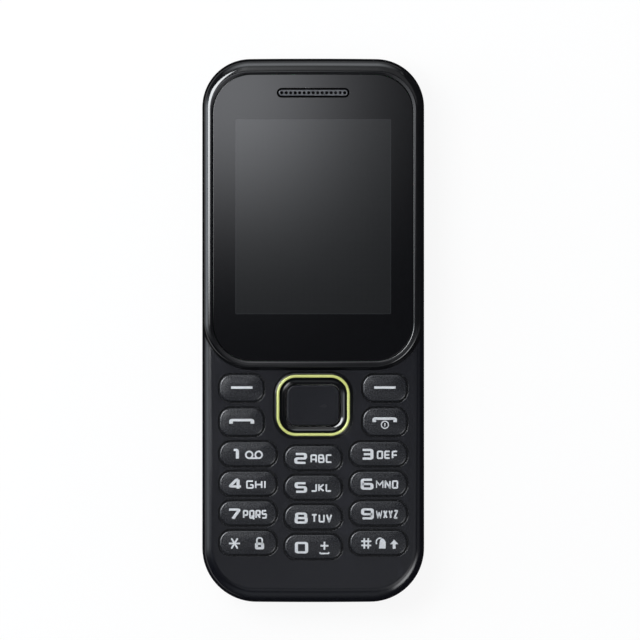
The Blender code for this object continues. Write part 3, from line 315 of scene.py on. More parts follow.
# Moulded plastic: a colour mottled by its grain, the grain as bump, roughness that drifts over broad clouds,
# and paler patches where edges are worn
def mouldedPlastic(name, use):
    material, tree, shader = newFinish(name)
    place = objectPlace(tree)
    fine = grainNoise(tree, use["grain"], 3.0, place)
    broad = grainNoise(tree, use["cloud"], 2.0, place)
    dark, light = shaded(use["colour"], 1 - use["mottle"]), shaded(use["colour"], 1 + use["mottle"])
    n = noiseForm
    base = mixColour(tree, mapRange(tree, fine, *n["span"], 0, 1), dark, light)
    if "worn" in use:
        sharpness = addNode(tree, "ShaderNodeNewGeometry").outputs["Pointiness"]
        edge = mapRange(tree, sharpness, *n["wornAt"], 0, 1)
        patchy = mathNode(tree, "MULTIPLY", edge, mapRange(tree, broad, *n["tight"], n["leastWorn"], 1))
        base = mixColour(tree, patchy, base, shaded(use["colour"], use["worn"]))
    tree.links.new(base, shader.inputs["Base Color"])
    driftFrom(tree, shader, broad, use)
    bumpFrom(tree, shader, fine, use["depth"])
    shader.inputs["IOR"].default_value = 1.5
    shader.inputs["Specular IOR Level"].default_value = use.get("specular", 0.5)
    shader.inputs["Coat Weight"].default_value = use.get("coat", 0.0)
    shader.inputs["Coat Roughness"].default_value = 0.03
    return material


# Metal: brushed streaks are noise stretched along one axis, with small clouds of tarnish
def rolledMetal(name, use):
    material, tree, shader = newFinish(name)
    place = objectPlace(tree)
    stretch = addNode(tree, "ShaderNodeMapping", {"Vector": place, "Scale": use["stretch"]}).outputs[0]
    streak = grainNoise(tree, use["grain"], 4.0, stretch)
    cloud = grainNoise(tree, use["cloud"], 3.0, place)
    tarnished = shaded(use["colour"], noiseForm["tarnish"])
    tree.links.new(mixColour(tree, mapRange(tree, cloud, *noiseForm["wide"], 0, 1), use["colour"], tarnished),
                   shader.inputs["Base Color"])
    driftFrom(tree, shader, streak, use)
    bumpFrom(tree, shader, streak, use["depth"])
    shader.inputs["Metallic"].default_value = use.get("metal", 1.0)
    return material


# Circuit board: a green mask with tracks along the joints of a brick pattern, and round pads at scattered dots
def boardFinish(name, use):
    material, tree, shader = newFinish(name)
    place = objectPlace(tree)
    cells = addNode(tree, "ShaderNodeTexBrick", {
        "Vector": place, "Scale": 1 / (use["track"] * mm), "Mortar Size": 0.12, "Mortar Smooth": 0.2,
        "Brick Width": 1.7, "Row Height": 0.6}).outputs["Fac"]
    dots = addNode(tree, "ShaderNodeTexVoronoi",
                   {"Vector": place, "Scale": 1 / (use["via"] * mm)}).outputs["Distance"]
    via = mapRange(tree, dots, *use["viaEdge"], 1, 0)
    mask = mixColour(tree, cells, use["mask"], use["copperUnder"])
    tree.links.new(mixColour(tree, via, mask, use["pad"]), shader.inputs["Base Color"])
    driftFrom(tree, shader, grainNoise(tree, use["grain"], 2.0, place), use)
    bumpFrom(tree, shader, cells, use["depth"])
    return material


# Printed ink: thick pale paint with pin-sized speckle
def inkFinish(name, use):
    material, tree, shader = newFinish(name)
    speckle = grainNoise(tree, use["grain"], 3.0, objectPlace(tree))
    shade = mapRange(tree, speckle, *noiseForm["tight"], 0, 1)
    tree.links.new(mixColour(tree, shade, use["colour"], use["shade"]), shader.inputs["Base Color"])
    driftFrom(tree, shader, speckle, use)
    bumpFrom(tree, shader, speckle, use["depth"])
    return material


# Plastics: colour, roughness and how far it drifts, grain size and depth, cloud size, mottle, shine and wear
plastics = {
    "satinBlack": {"colour": (0.0056, 0.0058, 0.0084), "rough": 0.17, "drift": 0.02, "grain": 0.34,
                   "depth": 0.002, "cloud": 14.0, "mottle": 0.30, "specular": 0.42, "worn": 1.5},
    "glossBlack": {"colour": (0.0060, 0.0061, 0.0070), "rough": 0.09, "drift": 0.02, "grain": 0.9,
                   "depth": 0.0008, "cloud": 9.0, "mottle": 0.10},
    "keyBlack": {"colour": (0.0100, 0.0104, 0.0130), "rough": 0.21, "drift": 0.02, "grain": 0.30,
                 "depth": 0.002, "cloud": 6.0, "mottle": 0.32, "specular": 0.42, "worn": 1.4},
    "okBlack": {"colour": (0.0085, 0.0087, 0.0112), "rough": 0.26, "drift": 0.02, "grain": 0.25,
                "depth": 0.002, "cloud": 5.0, "mottle": 0.15, "specular": 0.14},
    "limePlastic": {"colour": (0.59, 0.625, 0.185), "rough": 0.33, "drift": 0.04, "grain": 0.30,
                    "depth": 0.003, "cloud": 4.0, "mottle": 0.05, "coat": 0.3},
    # painted light: the back cover's and side band's blacks are raised paler than the front housing's, a lift
    # that stands in for light their dim sides don't get
    "coverBlack": {"colour": (0.0190, 0.0192, 0.0215), "rough": 0.46, "drift": 0.04, "grain": 0.30,
                   "depth": 0.030, "cloud": 16.0, "mottle": 0.2},
    "bandBlack": {"colour": (0.0180, 0.0182, 0.0205), "rough": 0.34, "drift": 0.04, "grain": 0.24,
                  "depth": 0.010, "cloud": 12.0, "mottle": 0.15, "worn": 1.4},
    "siliconeGrey": {"colour": (0.20, 0.20, 0.21), "rough": 0.75, "drift": 0.05, "grain": 0.10,
                     "depth": 0.010, "cloud": 5.0, "mottle": 0.12},
    "domeFilm": {"colour": (0.55, 0.55, 0.52), "rough": 0.35, "drift": 0.06, "grain": 0.6,
                 "depth": 0.004, "cloud": 7.0, "mottle": 0.08},
    "frameWhite": {"colour": (0.68, 0.68, 0.66), "rough": 0.48, "drift": 0.05, "grain": 0.25,
                   "depth": 0.008, "cloud": 6.0, "mottle": 0.06},
    "amberFilm": {"colour": (0.50, 0.26, 0.05), "rough": 0.36, "drift": 0.05, "grain": 0.5,
                  "depth": 0.006, "cloud": 4.0, "mottle": 0.14},
    "batteryWrap": {"colour": (0.085, 0.086, 0.095), "rough": 0.42, "drift": 0.06, "grain": 0.7,
                    "depth": 0.012, "cloud": 11.0, "mottle": 0.12},
    "socketBlack": {"colour": (0.016, 0.016, 0.018), "rough": 0.42, "drift": 0.05, "grain": 0.2,
                    "depth": 0.006, "cloud": 4.0, "mottle": 0.2},
    # painted shade: near-black without shine, for the grille's flange and its holes' walls and floors, where
    # shade falls
    "wellDark": {"colour": (0.0020, 0.0020, 0.0022), "rough": 0.80, "drift": 0.04, "grain": 0.2,
                 "depth": 0.004, "cloud": 3.0, "mottle": 0.2, "specular": 0.0},
}

# Metals: the streaks of the brushing are stretched along the axis with the smallest factor
metals = {
    "tinPlate": {"colour": (0.68, 0.68, 0.70), "rough": 0.30, "drift": 0.07, "grain": 0.12, "cloud": 4.0,
                 "depth": 0.002, "stretch": (1.0, 0.08, 1.0)},
    "steelPlate": {"colour": (0.58, 0.58, 0.60), "rough": 0.26, "drift": 0.07, "grain": 0.10, "cloud": 3.0,
                   "depth": 0.002, "stretch": (0.1, 1.0, 1.0)},
    "weightMetal": {"colour": (0.36, 0.36, 0.38), "rough": 0.38, "drift": 0.07, "grain": 0.15, "cloud": 1.2,
                    "depth": 0.004, "stretch": (1.0, 1.0, 0.3)},
    "contactGold": {"colour": (0.80, 0.58, 0.24), "rough": 0.28, "drift": 0.07, "grain": 0.12, "cloud": 2.0,
                    "depth": 0.002, "stretch": (1.0, 1.0, 0.2)},
    "grilleMetal": {"colour": (0.064, 0.066, 0.074), "rough": 0.30, "drift": 0.07, "grain": 0.60,
                    "cloud": 2.5, "depth": 0.0008, "stretch": (0.3, 1.0, 1.0), "metal": 0.0},
}
boardUse = {"mask": (0.012, 0.10, 0.035), "copperUnder": (0.03, 0.20, 0.07), "pad": (0.62, 0.50, 0.26),
            "track": 0.9, "via": 2.3, "viaEdge": (0.10, 0.16), "rough": 0.4, "drift": 0.1, "grain": 0.3,
            "depth": 0.02}
inkUse = {"colour": (0.62, 0.63, 0.65), "shade": (0.48, 0.49, 0.51), "grain": 0.16, "rough": 0.40,
          "drift": 0.06, "depth": 0.004}

for name, use in plastics.items():
    finish[name] = mouldedPlastic(name, use)
for name, use in metals.items():
    finish[name] = rolledMetal(name, use)
finish["boardGreen"] = boardFinish("boardGreen", boardUse)
finish["keyInk"] = inkFinish("keyInk", inkUse)
print("finishes made")

# Front housing: deck with its openings, then the glossy rim and collar round the window
deckForm = {"roundSide": 2.3, "roundEnd": 3.2, "roundRise": 2.5, "roundRows": 15, "belowRound": 0.3,
            "seamRound": 0.12, "seamBend": 0.035, "topStep": 0.03, "cornerStep": 0.5, "lip": 0.07,
            "lipSteps": 4, "keyGap": 0.26, "navGap": 0.60, "windowGap": 0.25, "narrow": 0.565,
            "sidePoints": 11, "drawnAt": (-44.6, -4.0, 1.0), "drawn": (0.0, 0.42, 1.0)}
navForm = {"x": 0.0, "y": -15.5318, "halfX": 7.6659, "halfY": 6.4020, "corner": 4.0973, "steps": 20}
padForm = {"softX": 14.830, "softWidth": 8.889, "softY": -11.9408, "softHeight": 5.303,
           "callY": -18.9429, "callHeight": 5.501, "firstY": -25.5840, "rowPitch": 6.1316, "columnX": 13.5,
           "middleDrop": 0.82, "keyWidth": 11.55, "keyHeight": 4.802, "corner": 2.101, "grow": 0.15}
keyRows = (("1", "2", "3"), ("4", "5", "6"), ("7", "8", "9"), ("star", "0", "hash"))


# Middle, width and height of each key that has an opening of its own
def placeKeys():
    p = padForm
    soft = (p["softY"], p["softWidth"], p["softHeight"])
    call = (p["callY"], p["softWidth"], p["callHeight"])
    places = {"key_soft_left": (-p["softX"], *soft), "key_soft_right": (p["softX"], *soft),
              "key_call": (-p["softX"], *call), "key_end": (p["softX"], *call)}
    for row, names in enumerate(keyRows):
        for column, word in enumerate(names):
            drop = p["middleDrop"] if column == 1 else 0
            places["key_" + word] = ((column - 1) * p["columnX"], p["firstY"] - row * p["rowPitch"] - drop,
                                     p["keyWidth"], p["keyHeight"])
    return places


keyPlaces = placeKeys()


# A key's outline, grown all round by a distance
def keyOutline(place, grow):
    x, y, width, height = place
    grow += padForm["grow"]
    return boxOutline(x, y, width / 2 + grow, height / 2 + grow, padForm["corner"] + grow)


# The navigation ring's outline, grown all round by a distance
def navOutline(grow):
    n = navForm
    return boxOutline(n["x"], n["y"], n["halfX"] + grow, n["halfY"] + grow, n["corner"] + grow, n["steps"])


# Points are added along both straight sides, where the window's lower corners begin
def fillSides(ring):
    half = len(ring) // 2
    along = np.linspace(deckForm["drawnAt"][2], deckForm["drawnAt"][1], deckForm["sidePoints"])
    left = np.column_stack([np.full(len(along), ring[half - 1, 0]), along])
    return np.concatenate([ring[:half], left, ring[half:], (left * (-1, 1))[::-1]])


# A deck ring at a rounding inset. Towards the window its sides draw in less and less, by a share that runs
# straight between three places along Y, so that the flat deck stays outside the window's opening
def deckRing(side, end):
    d = deckForm
    wide, close = fillSides(caseOutline(side, side, end)), fillSides(caseOutline(side * d["narrow"], side, end))
    return wide + (close - wide) * np.interp(wide[:, 1:], d["drawnAt"], d["drawn"])


# Inner wall, seam and outer wall are rings of the case outline; the edge is a quarter ellipse over onto the
# deck. Each opening is a wall with a small rounded lip, and two flat patches close the deck between them
def buildDeck():
    d, c = deckForm, caseForm
    seam = c["seamFront"]
    wallRows = [(c["wall"] + d["cornerStep"], c["under"]), (c["wall"], c["under"] - d["cornerStep"]),
                (c["wall"], seam), (d["seamRound"], seam), (d["seamBend"], seam + d["seamBend"]),
                (0.0, seam + d["seamRound"]), (0.0, c["deck"] - d["roundRise"] - d["belowRound"])]
    rings = [atHeight(fillSides(caseOutline(inset)), z) for inset, z in wallRows]
    for t in np.linspace(0, pi / 2, d["roundRows"]):
        ring = deckRing(d["roundSide"] * (1 - cos(t)), d["roundEnd"] * (1 - cos(t)))
        rings.append(atHeight(ring, c["deck"] - d["roundRise"] * (1 - sin(t))))
    rings.append(atHeight(deckRing(d["roundSide"] + d["topStep"], d["roundEnd"] + d["topStep"]), c["deck"]))
    parts = [loft(rings)]
    openings = [lambda grow, place=place: keyOutline(place, d["keyGap"] + grow) for place in keyPlaces.values()]
    openings += [lambda grow: navOutline(d["navGap"] + grow), lambda grow: windowOutline(d["windowGap"] + grow)]
    lipRows = openingEdge(c["deck"], d["lip"], d["lipSteps"])
    parts += [loft(insetRings(opening, lipRows + [(0, c["under"])])) for opening in openings]
    upper = [opening(d["lip"] + edgeFlat) for opening in openings]
    lower = [opening(0) for opening in openings]
    parts.append(flatPatch(rings[-1][:, :2], upper, liftTo(c["deck"])))
    parts.append(flatPatch(rings[0][:, :2], lower, liftTo(c["under"])))
    return parts


rimForm = {"setback": 0.02, "crestSide": 1.72, "crestTop": 2.75, "rise": 2.1, "crestLow": -7.4494, "foot": 0.95,
           "sunk": 1.2, "slack": 0.03, "rows": 36, "crownRows": 5, "lipDrop": 0.02, "lipRound": 0.24,
           "sideRound": 0.08, "lipGap": -0.05, "lipSteps": 7, "sideFrom": 6.0, "sideOver": 9.0,
           "ledge": 11.72, "ledgeLow": 11.5, "ledgeReach": 0.5}


# A rim ring: straight sides at one inset, the top end at another, the lower end at a given place
def rimRing(side, top, lowY):
    c, w = caseForm, windowForm
    corner = w["corner"] + (c["half"] - side) - w["half"]
    return bowedOutline(c["half"] - side, c["end"] - top, lowY, c["topCorner"] - (side + top) / 2, corner,
                        c["bow"])


# The rim climbs a quarter ellipse from the wall to its crest, falls a little to the window and rounds over
# its lip, which is narrower beside the window than below it. At the lower end the rim is a collar: its climb
# from the deck is a smooth step, solved for the distance at each height
def buildRim():
    r, c = rimForm, caseForm
    footZ = c["top"] - r["rise"]
    lowEnd = r["crestLow"] - r["foot"]
    rings = [atHeight(rimRing(r["setback"], r["setback"], lowEnd), footZ - r["sunk"])]
    for t in np.linspace(0, pi / 2, r["rows"]):
        side = r["setback"] + (r["crestSide"] - r["setback"]) * (1 - cos(t))
        top = r["setback"] + (r["crestTop"] - r["setback"]) * (1 - cos(t))
        z = footZ + r["rise"] * sin(t)
        climb = min(max((z - c["deck"] + r["slack"]) / (c["top"] - c["deck"] + r["slack"]), 0.0), 1.0)
        along = 0.5 - sin(asin(1 - 2 * climb) / 3)
        rings.append(atHeight(rimRing(side, top, lowEnd + r["foot"] * along), z))
    crest = rings[-1]
    lip = atHeight(windowOutline(r["lipGap"]), c["top"] - r["lipDrop"])
    shoulder = atHeight(windowOutline(r["lipGap"] + r["lipRound"]), c["top"] - r["lipDrop"])
    narrow = r["sideRound"] / r["lipRound"]
    wide = narrow + (1 - narrow) * smoothStep(-lip[:, 1:2], -r["sideFrom"], r["sideOver"])
    shoulder = lip + (shoulder - lip) * wide
    rings += [crest + (shoulder - crest) * share for share in np.linspace(0, 1, r["crownRows"] + 1)[1:]]
    for t in np.linspace(0, pi / 2, r["lipSteps"] + 1)[1:]:
        ring = lip + (shoulder - lip) * (1 - sin(t))
        ring[:, 2:] -= r["lipRound"] * wide * (1 - cos(t))
        rings.append(ring)
    rings.append(atHeight(windowOutline(r["lipGap"]), r["ledge"]))
    rings.append(atHeight(windowOutline(r["lipGap"] + r["ledgeReach"]), r["ledgeLow"]))
    return [loft(rings, loop=True)]


makePiece("frontHousing", buildDeck(), ["satinBlack"], "phone", ["front_housing"])
makePiece("windowRim", buildRim(), ["glossBlack"], "phone")
print("front housing made")

# Display window: polished edge, printed border, display area, earpiece slot
lensForm = {"low": 11.85, "top": 12.85, "edge": 0.08, "edgeSteps": 6, "lowEdge": 0.05, "inset": 0.13,
            "screenHalfX": 16.15, "screenLow": 3.3606, "screenTop": 43.7606, "screenCorner": 0.35,
            "screenSteps": 4, "frameLine": 0.16, "slotY": 49.24, "slotLength": 15.06, "slotHeight": 2.0,
            "slotEdge": 0.01, "slotSteps": 3}
lensUse = {"colour": (0.0058, 0.0059, 0.0068), "rough": 0.035, "drift": 0.01, "grain": 1.6, "depth": 0.0002,
           "cloud": 18.0, "mottle": 0.06}
panelUse = {"line": (0.024, 0.025, 0.027), "cell": (0.0175, 0.0180, 0.0190), "pitch": 0.25, "cloud": 20.0,
            "cloudLift": 1.06, "gridDrop": 0.8, "rough": 0.045, "drift": 0.01, "ior": 1.54}


# Dark display under glass: a grid of square cells with narrow darker lines between them
def panelFinish(name, use):
    material, tree, shader = newFinish(name)
    place = objectPlace(tree)
    cells = addNode(tree, "ShaderNodeTexBrick", {
        "Vector": place, "Scale": 1 / (use["pitch"] * mm), "Mortar Size": 0.06, "Mortar Smooth": 0.5,
        "Brick Width": 1.0, "Row Height": 1.0}, offset=0.0).outputs["Fac"]
    cloud = grainNoise(tree, use["cloud"], 2.0, place)
    dim = mixColour(tree, mapRange(tree, cloud, *noiseForm["tight"], 0, 1), use["cell"],
                    shaded(use["cell"], use["cloudLift"]))
    tree.links.new(mixColour(tree, cells, dim, shaded(use["cell"], use["gridDrop"])),
                   shader.inputs["Base Color"])
    driftFrom(tree, shader, cloud, use)
    shader.inputs["IOR"].default_value = use["ior"]
    return material


finish["lensBlack"] = mouldedPlastic("lensBlack", lensUse)
finish["panelDark"] = panelFinish("panelDark", panelUse)
finish["panelLine"] = mouldedPlastic("panelLine", dict(lensUse, colour=panelUse["line"]))


# The window outline with a rounded upper edge, a wall down through the slot, and flat patches: the border,
# the display area and a thin line round it on top, one below
def buildLens():
    f = lensForm
    edge = quarterRound(0, f["top"] - f["edge"], f["edge"], f["edge"], f["edgeSteps"])
    rows = [(f["lowEdge"], f["low"]), (0, f["low"] + f["lowEdge"])] + edge
    lens = lambda grow: windowOutline(grow - f["inset"])
    slot = lambda grow: slotOutline(0, f["slotY"], f["slotLength"] + 2 * grow, f["slotHeight"] + 2 * grow)
    slotRows = openingEdge(f["top"], f["slotEdge"], f["slotSteps"]) + [(0, f["low"])]
    middle, halfY = (f["screenLow"] + f["screenTop"]) / 2, (f["screenTop"] - f["screenLow"]) / 2
    screen = lambda grow: boxOutline(0, middle, f["screenHalfX"] + grow, halfY + grow,
                                     f["screenCorner"] + grow, f["screenSteps"])
    lift = liftTo(f["top"])
    return [loft(insetRings(lens, rows)), loft(insetRings(slot, slotRows)),
            flatPatch(lens(-f["edge"] - edgeFlat), [slot(f["slotEdge"] + edgeFlat), screen(0)], lift),
            flatPatch(screen(0), [screen(-f["frameLine"])], lift, 2),
            flatPatch(screen(-f["frameLine"]), [], lift, 1),
            flatPatch(lens(-f["lowEdge"]), [slot(0)], liftTo(f["low"]))]


makePiece("displayWindow", buildLens(), ["lensBlack", "panelDark", "panelLine"], "phone",
          ["display_window"])

grilleForm = {"low": 11.85, "shoulder": 12.25, "top": 12.74, "bar": 1.25, "gap": 0.03, "edge": 0.12,
              "edgeSteps": 4, "holes": 15, "pitch": 0.931, "hole": 0.31, "holeEdge": 0.02, "holeFlat": 0.01,
              "holeSteps": 20}


# A strip on a flange painted near-black as shade; its flat top is pierced by a row of round holes whose walls
# and capped floors are painted near-black as shade
def buildGrille():
    f, w = grilleForm, lensForm
    length, height = w["slotLength"] - 2 * f["gap"], w["slotHeight"] - 2 * f["gap"]
    barLength = length - height + f["bar"]
    flange = lambda grow: slotOutline(0, w["slotY"], length + 2 * grow, height + 2 * grow)
    bar = lambda grow: slotOutline(0, w["slotY"], barLength + 2 * grow, f["bar"] + 2 * grow)
    edge = quarterRound(0, f["top"] - f["edge"], f["edge"], f["edge"], f["edgeSteps"])
    parts = [loft(insetRings(flange, [(0, f["low"]), (0, f["shoulder"])]), mark=1),
             loft([atHeight(flange(0), f["shoulder"]), atHeight(bar(0), f["shoulder"])], mark=1),
             loft(insetRings(bar, [(0, f["shoulder"])] + edge))]
    rims = []
    outer = f["holeEdge"] + f["holeFlat"]
    holeRows = [(-outer, f["top"]), (-f["holeEdge"], f["top"]), (0, f["top"] - f["holeEdge"]),
                (0, f["shoulder"])]
    for x in (np.arange(f["holes"]) - (f["holes"] - 1) / 2) * f["pitch"]:
        hole = lambda grow, x=x: circleOutline(x, w["slotY"], f["hole"] + grow, f["holeSteps"])
        parts.append(loft(insetRings(hole, holeRows), capEnd=True, mark=1))
        rims.append(hole(outer))
    parts.append(flatPatch(bar(-f["edge"] - edgeFlat), rims, liftTo(f["top"])))
    parts.append(flatPatch(flange(0), [], liftTo(f["low"]), 1))
    return parts


makePiece("earpieceGrille", buildGrille(), ["grilleMetal", "wellDark"], "phone",
          ["earpiece_grille"])
print("window and grille made")

# Keys
capForm = {"flange": 0.45, "flangeLow": 10.4, "flangeTop": 10.9, "top": 12.8, "draft": 0.05, "edgeWidth": 0.36,
           "edgeRise": 0.34, "edgeSteps": 8, "crown": 0.14, "crownPower": 2.6,
           "crownShares": (0.93, 0.82, 0.68, 0.52, 0.36, 0.2, 0.08)}
plungerForm = {"halfX": 1.3, "halfY": 0.8, "low": 9.45, "into": 0.25}


# A block under a key that reaches a little way into its cap
def plunger(x, y, capLow):
    f = plungerForm
    return boxShell(x - f["halfX"], x + f["halfX"], y - f["halfY"], y + f["halfY"], f["low"],
                    capLow + f["into"])


# Rings that shrink towards a middle point by each share, at the height that the share gives
def shrinkRings(ring, x, y, shares, heightAt):
    middle = np.array([x, y, 0.0])
    rings = []
    for share in shares:
        smaller = middle + (ring - middle) * share
        smaller[:, 2] = heightAt(share)
        rings.append(smaller)
    return rings


# A cap: flange, drafted wall, elliptical edge, then rings that shrink to the middle while the crown rises
def buildKey(place):
    f = capForm
    x, y, width, height = place
    outlineAt = lambda grow: keyOutline(place, grow)
    rimZ = f["top"] - f["crown"] - f["edgeRise"]
    rows = [(-f["flange"], f["flangeLow"]), (-f["flange"], f["flangeTop"]), (0, f["flangeTop"]),
            (f["draft"], rimZ - edgeFlat)]
    rows += quarterRound(f["draft"], rimZ, f["edgeWidth"], f["edgeRise"], f["edgeSteps"])
    rings = insetRings(outlineAt, rows)
    rings += shrinkRings(rings[-1], x, y, f["crownShares"],
                         lambda share: f["top"] - f["crown"] * share ** f["crownPower"])
    return [loft(rings, capStart=True, capEnd=True), plunger(x, y, f["flangeLow"])]


def pieceName(kind, node):
    return kind + node[3:].title().replace("_", "")


for node, place in keyPlaces.items():
    makePiece(pieceName("cap", node), buildKey(place), ["keyBlack"], "button" + node[3:], [node])

okForm = {"halfX": 5.4252, "halfY": 4.1613, "corner": 1.7894, "steps": 14, "low": 10.4, "top": 12.6,
          "edge": 0.22, "edgeSteps": 6, "dish": 0.05, "dishShares": (0.9, 0.72, 0.5, 0.28, 0.1)}


# A straight wall with a rounded edge and a top that dips as one minus the share squared
def buildOk():
    f, n = okForm, navForm
    outlineAt = lambda grow: boxOutline(n["x"], n["y"], f["halfX"] + grow, f["halfY"] + grow,
                                        f["corner"] + grow, f["steps"])
    edge = quarterRound(0, f["top"] - f["edge"], f["edge"], f["edge"], f["edgeSteps"])
    rings = insetRings(outlineAt, [(0, f["low"])] + edge)
    rings += shrinkRings(rings[-1], n["x"], n["y"], f["dishShares"],
                         lambda share: f["top"] - f["dish"] * (1 - share ** 2))
    return [loft(rings, capStart=True, capEnd=True), plunger(n["x"], n["y"], f["low"])]


makePiece("capOk", buildOk(), ["okBlack"], "ok_button", ["key_ok"])

ringForm = {"flank": 0.35, "reach": 0.65, "flangeLow": 10.2, "flangeTop": 10.4, "crest": 12.95,
            "crestRise": 0.45, "crestSteps": 8, "grooveGap": 0.06, "trimStart": 0.05, "trimWidth": 0.60,
            "trimTop": 13.05, "trimSeat": 12.35, "trimRound": 0.27, "trimSteps": 6, "lip": 12.78,
            "coveLow": 11.85, "coveEven": 0.38, "coveSteps": 12, "innerBand": 1.9407, "underside": 11.35}


# Ring: glossy flank rolling to a crest, a groove for the trim, then a hollow that falls to the OK key.
# The hollow falls evenly by one share and as (1 - s) to the fourth power by the rest while it runs in
def buildRing():
    f = ringForm
    gap = f["grooveGap"]
    start = f["trimStart"] + f["trimWidth"] + gap
    rows = [(-f["reach"], f["flangeLow"]), (-f["reach"], f["flangeTop"]), (-f["flank"], f["flangeTop"])]
    rows += quarterRound(-f["flank"], f["crest"] - f["crestRise"], f["flank"] - gap, f["crestRise"],
                         f["crestSteps"])
    rows += [(-gap, f["trimSeat"] - gap), (start, f["trimSeat"] - gap), (start, f["lip"])]
    for s in np.linspace(0, 1, f["coveSteps"] + 1)[1:]:
        fall = f["coveEven"] * (1 - s) + (f["lip"] - f["coveLow"] - f["coveEven"]) * (1 - s) ** 4
        rows.append((start + (f["innerBand"] - start) * s, f["coveLow"] + fall))
    rows += [(f["innerBand"], f["underside"]), (f["trimWidth"], f["flangeLow"])]
    return [loft(insetRings(navOutline, rows), loop=True)]


# Trim: a closed band whose two upper edges are quarter circles
def buildTrim():
    f = ringForm
    r = f["trimRound"]
    start, end = f["trimStart"], f["trimStart"] + f["trimWidth"]
    rows = [(start, f["trimSeat"])] + quarterRound(start, f["trimTop"] - r, r, r, f["trimSteps"])
    rows += [(end - inset, z) for inset, z in reversed(quarterRound(0, f["trimTop"] - r, r, r, f["trimSteps"]))]
    rows.append((end, f["trimSeat"]))
    return [loft(insetRings(navOutline, rows), loop=True)]


makePiece("navRing", buildRing(), ["glossBlack"], "nav_rocker", ["nav_ring"])
makePiece("navTrim", buildTrim(), ["limePlastic"], "nav_rocker", ["nav_trim"])
print("keys made")

# Legends: strokes in a unit box, corners rounded, swept as flat bars just proud of the key
legendForm = {"digitTall": 0.46, "digitWide": 0.64, "letter": 0.34, "thin": 0.22, "icon": 0.34, "proud": 0.025,
              "sunk": 0.05, "settle": 0.004, "layer": 0.0012, "round": 0.30, "letterRound": 0.22,
              "sharpRound": 0.04, "gap": 0.24, "tightGap": 0.16, "bendShare": 0.45, "bendSteps": 5,
              "leastAcross": 0.45, "ringSteps": 28}
legendZ = capForm["top"] - legendForm["settle"]
boxLoop = [(0, 0), (0, 1), (1, 1), (1, 0), "close"]
strokes = {
    "1": [[(0, 1), (1, 1), (1, 0)]], "2": [[(0, 1), (1, 1), (1, .5), (0, .5), (0, 0), (1, 0)]],
    "3": [[(0, 1), (1, 1), (1, 0), (0, 0)], [(.12, .5), (1, .5)]],
    "4": [[(.74, 0), (.74, 1)], [(.74, 1), (.6, 1), (0, .24), (1, .24)]],
    "5": [[(1, 1), (0, 1), (0, .53), (1, .53), (1, 0), (0, 0)]],
    "6": [[(1, 1), (0, 1), (0, 0), (1, 0), (1, .52), (0, .52)]], "7": [[(0, 1), (1, 1), (.36, 0)]],
    "8": [[(0, .5), (0, 0), (1, 0), (1, .5), (.95, .5), (.95, 1), (.05, 1), (.05, .5), "close"],
          [(0, .5), (1, .5)]],
    "9": [[(0, 0), (1, 0), (1, 1), (0, 1), (0, .46), (1, .46)]], "0": [boxLoop],
    "A": [[(0, 0), (0, 1), (1, 1), (1, 0)], [(0, .38), (1, .38)]],
    "B": [[(0, 0), (0, 1), (.9, 1), (.9, .53), (1, .48), (1, 0), "close"], [(0, .53), (.9, .53)]],
    "C": [[(1, 1), (0, 1), (0, 0), (1, 0)]], "D": [boxLoop],
    "E": [[(1, 1), (0, 1), (0, 0), (1, 0)], [(0, .5), (.9, .5)]],
    "F": [[(1, 1), (0, 1), (0, 0)], [(0, .46), (.9, .46)]],
    "G": [[(1, 1), (0, 1), (0, 0), (1, 0), (1, .46), (.55, .46)]],
    "H": [[(0, 0), (0, 1)], [(1, 0), (1, 1)], [(0, .5), (1, .5)]], "I": [[(.5, 0), (.5, 1)]],
    "J": [[(1, 1), (1, 0), (0, 0)]], "K": [[(0, 0), (0, 1)], [(1, 1), (.15, .5), (1, 0)]],
    "L": [[(0, 1), (0, 0), (1, 0)]], "M": [[(0, 0), (0, 1), (.5, .4), (1, 1), (1, 0)]],
    "N": [[(0, 0), (0, 1), (1, 0), (1, 1)]], "O": [boxLoop],
    "P": [[(0, 0), (0, 1), (1, 1), (1, .4), (0, .4)]], "Q": [boxLoop, [(.5, .34), (1.08, -.2)]],
    "R": [[(0, 0), (0, 1), (1, 1), (1, .42), (0, .42)], [(.5, .42), (1, 0)]],
    "S": [[(1, 1), (0, 1), (0, .52), (1, .52), (1, 0), (0, 0)]], "T": [[(0, 1), (1, 1)], [(.5, 1), (.5, 0)]],
    "U": [[(0, 1), (0, 0), (1, 0), (1, 1)]], "V": [[(0, 1), (.5, 0), (1, 1)]],
    "W": [[(0, 1), (.25, 0), (.5, .8)], [(.5, .8), (.75, 0), (1, 1)]],
    "X": [[(0, 1), (1, 0)], [(0, 0), (1, 1)]], "Y": [[(0, 1), (.5, .48), (1, 1)], [(.5, .48), (.5, 0)]],
    "Z": [[(0, 1), (1, 1), (0, 0), (1, 0)]],
    "star": [[(0, .5), (1, .5)], [(.22, 1), (.78, 0)], [(.78, 1), (.22, 0)]],
    "hash": [[(.3, 1), (.3, 0)], [(.7, 1), (.7, 0)], [(0, .7), (1, .7)], [(0, .3), (1, .3)]],
    "dash": [[(0, .5), (1, .5)]], "plus": [[(0, .5), (1, .5)], [(.5, 1), (.5, 0)]],
    "tray": [[(0, 1), (0, 0), (1, 0), (1, 1)]], "lid": [[(0, 0), (0, 1), (1, 1), (1, 0)]], "box": [boxLoop],
}


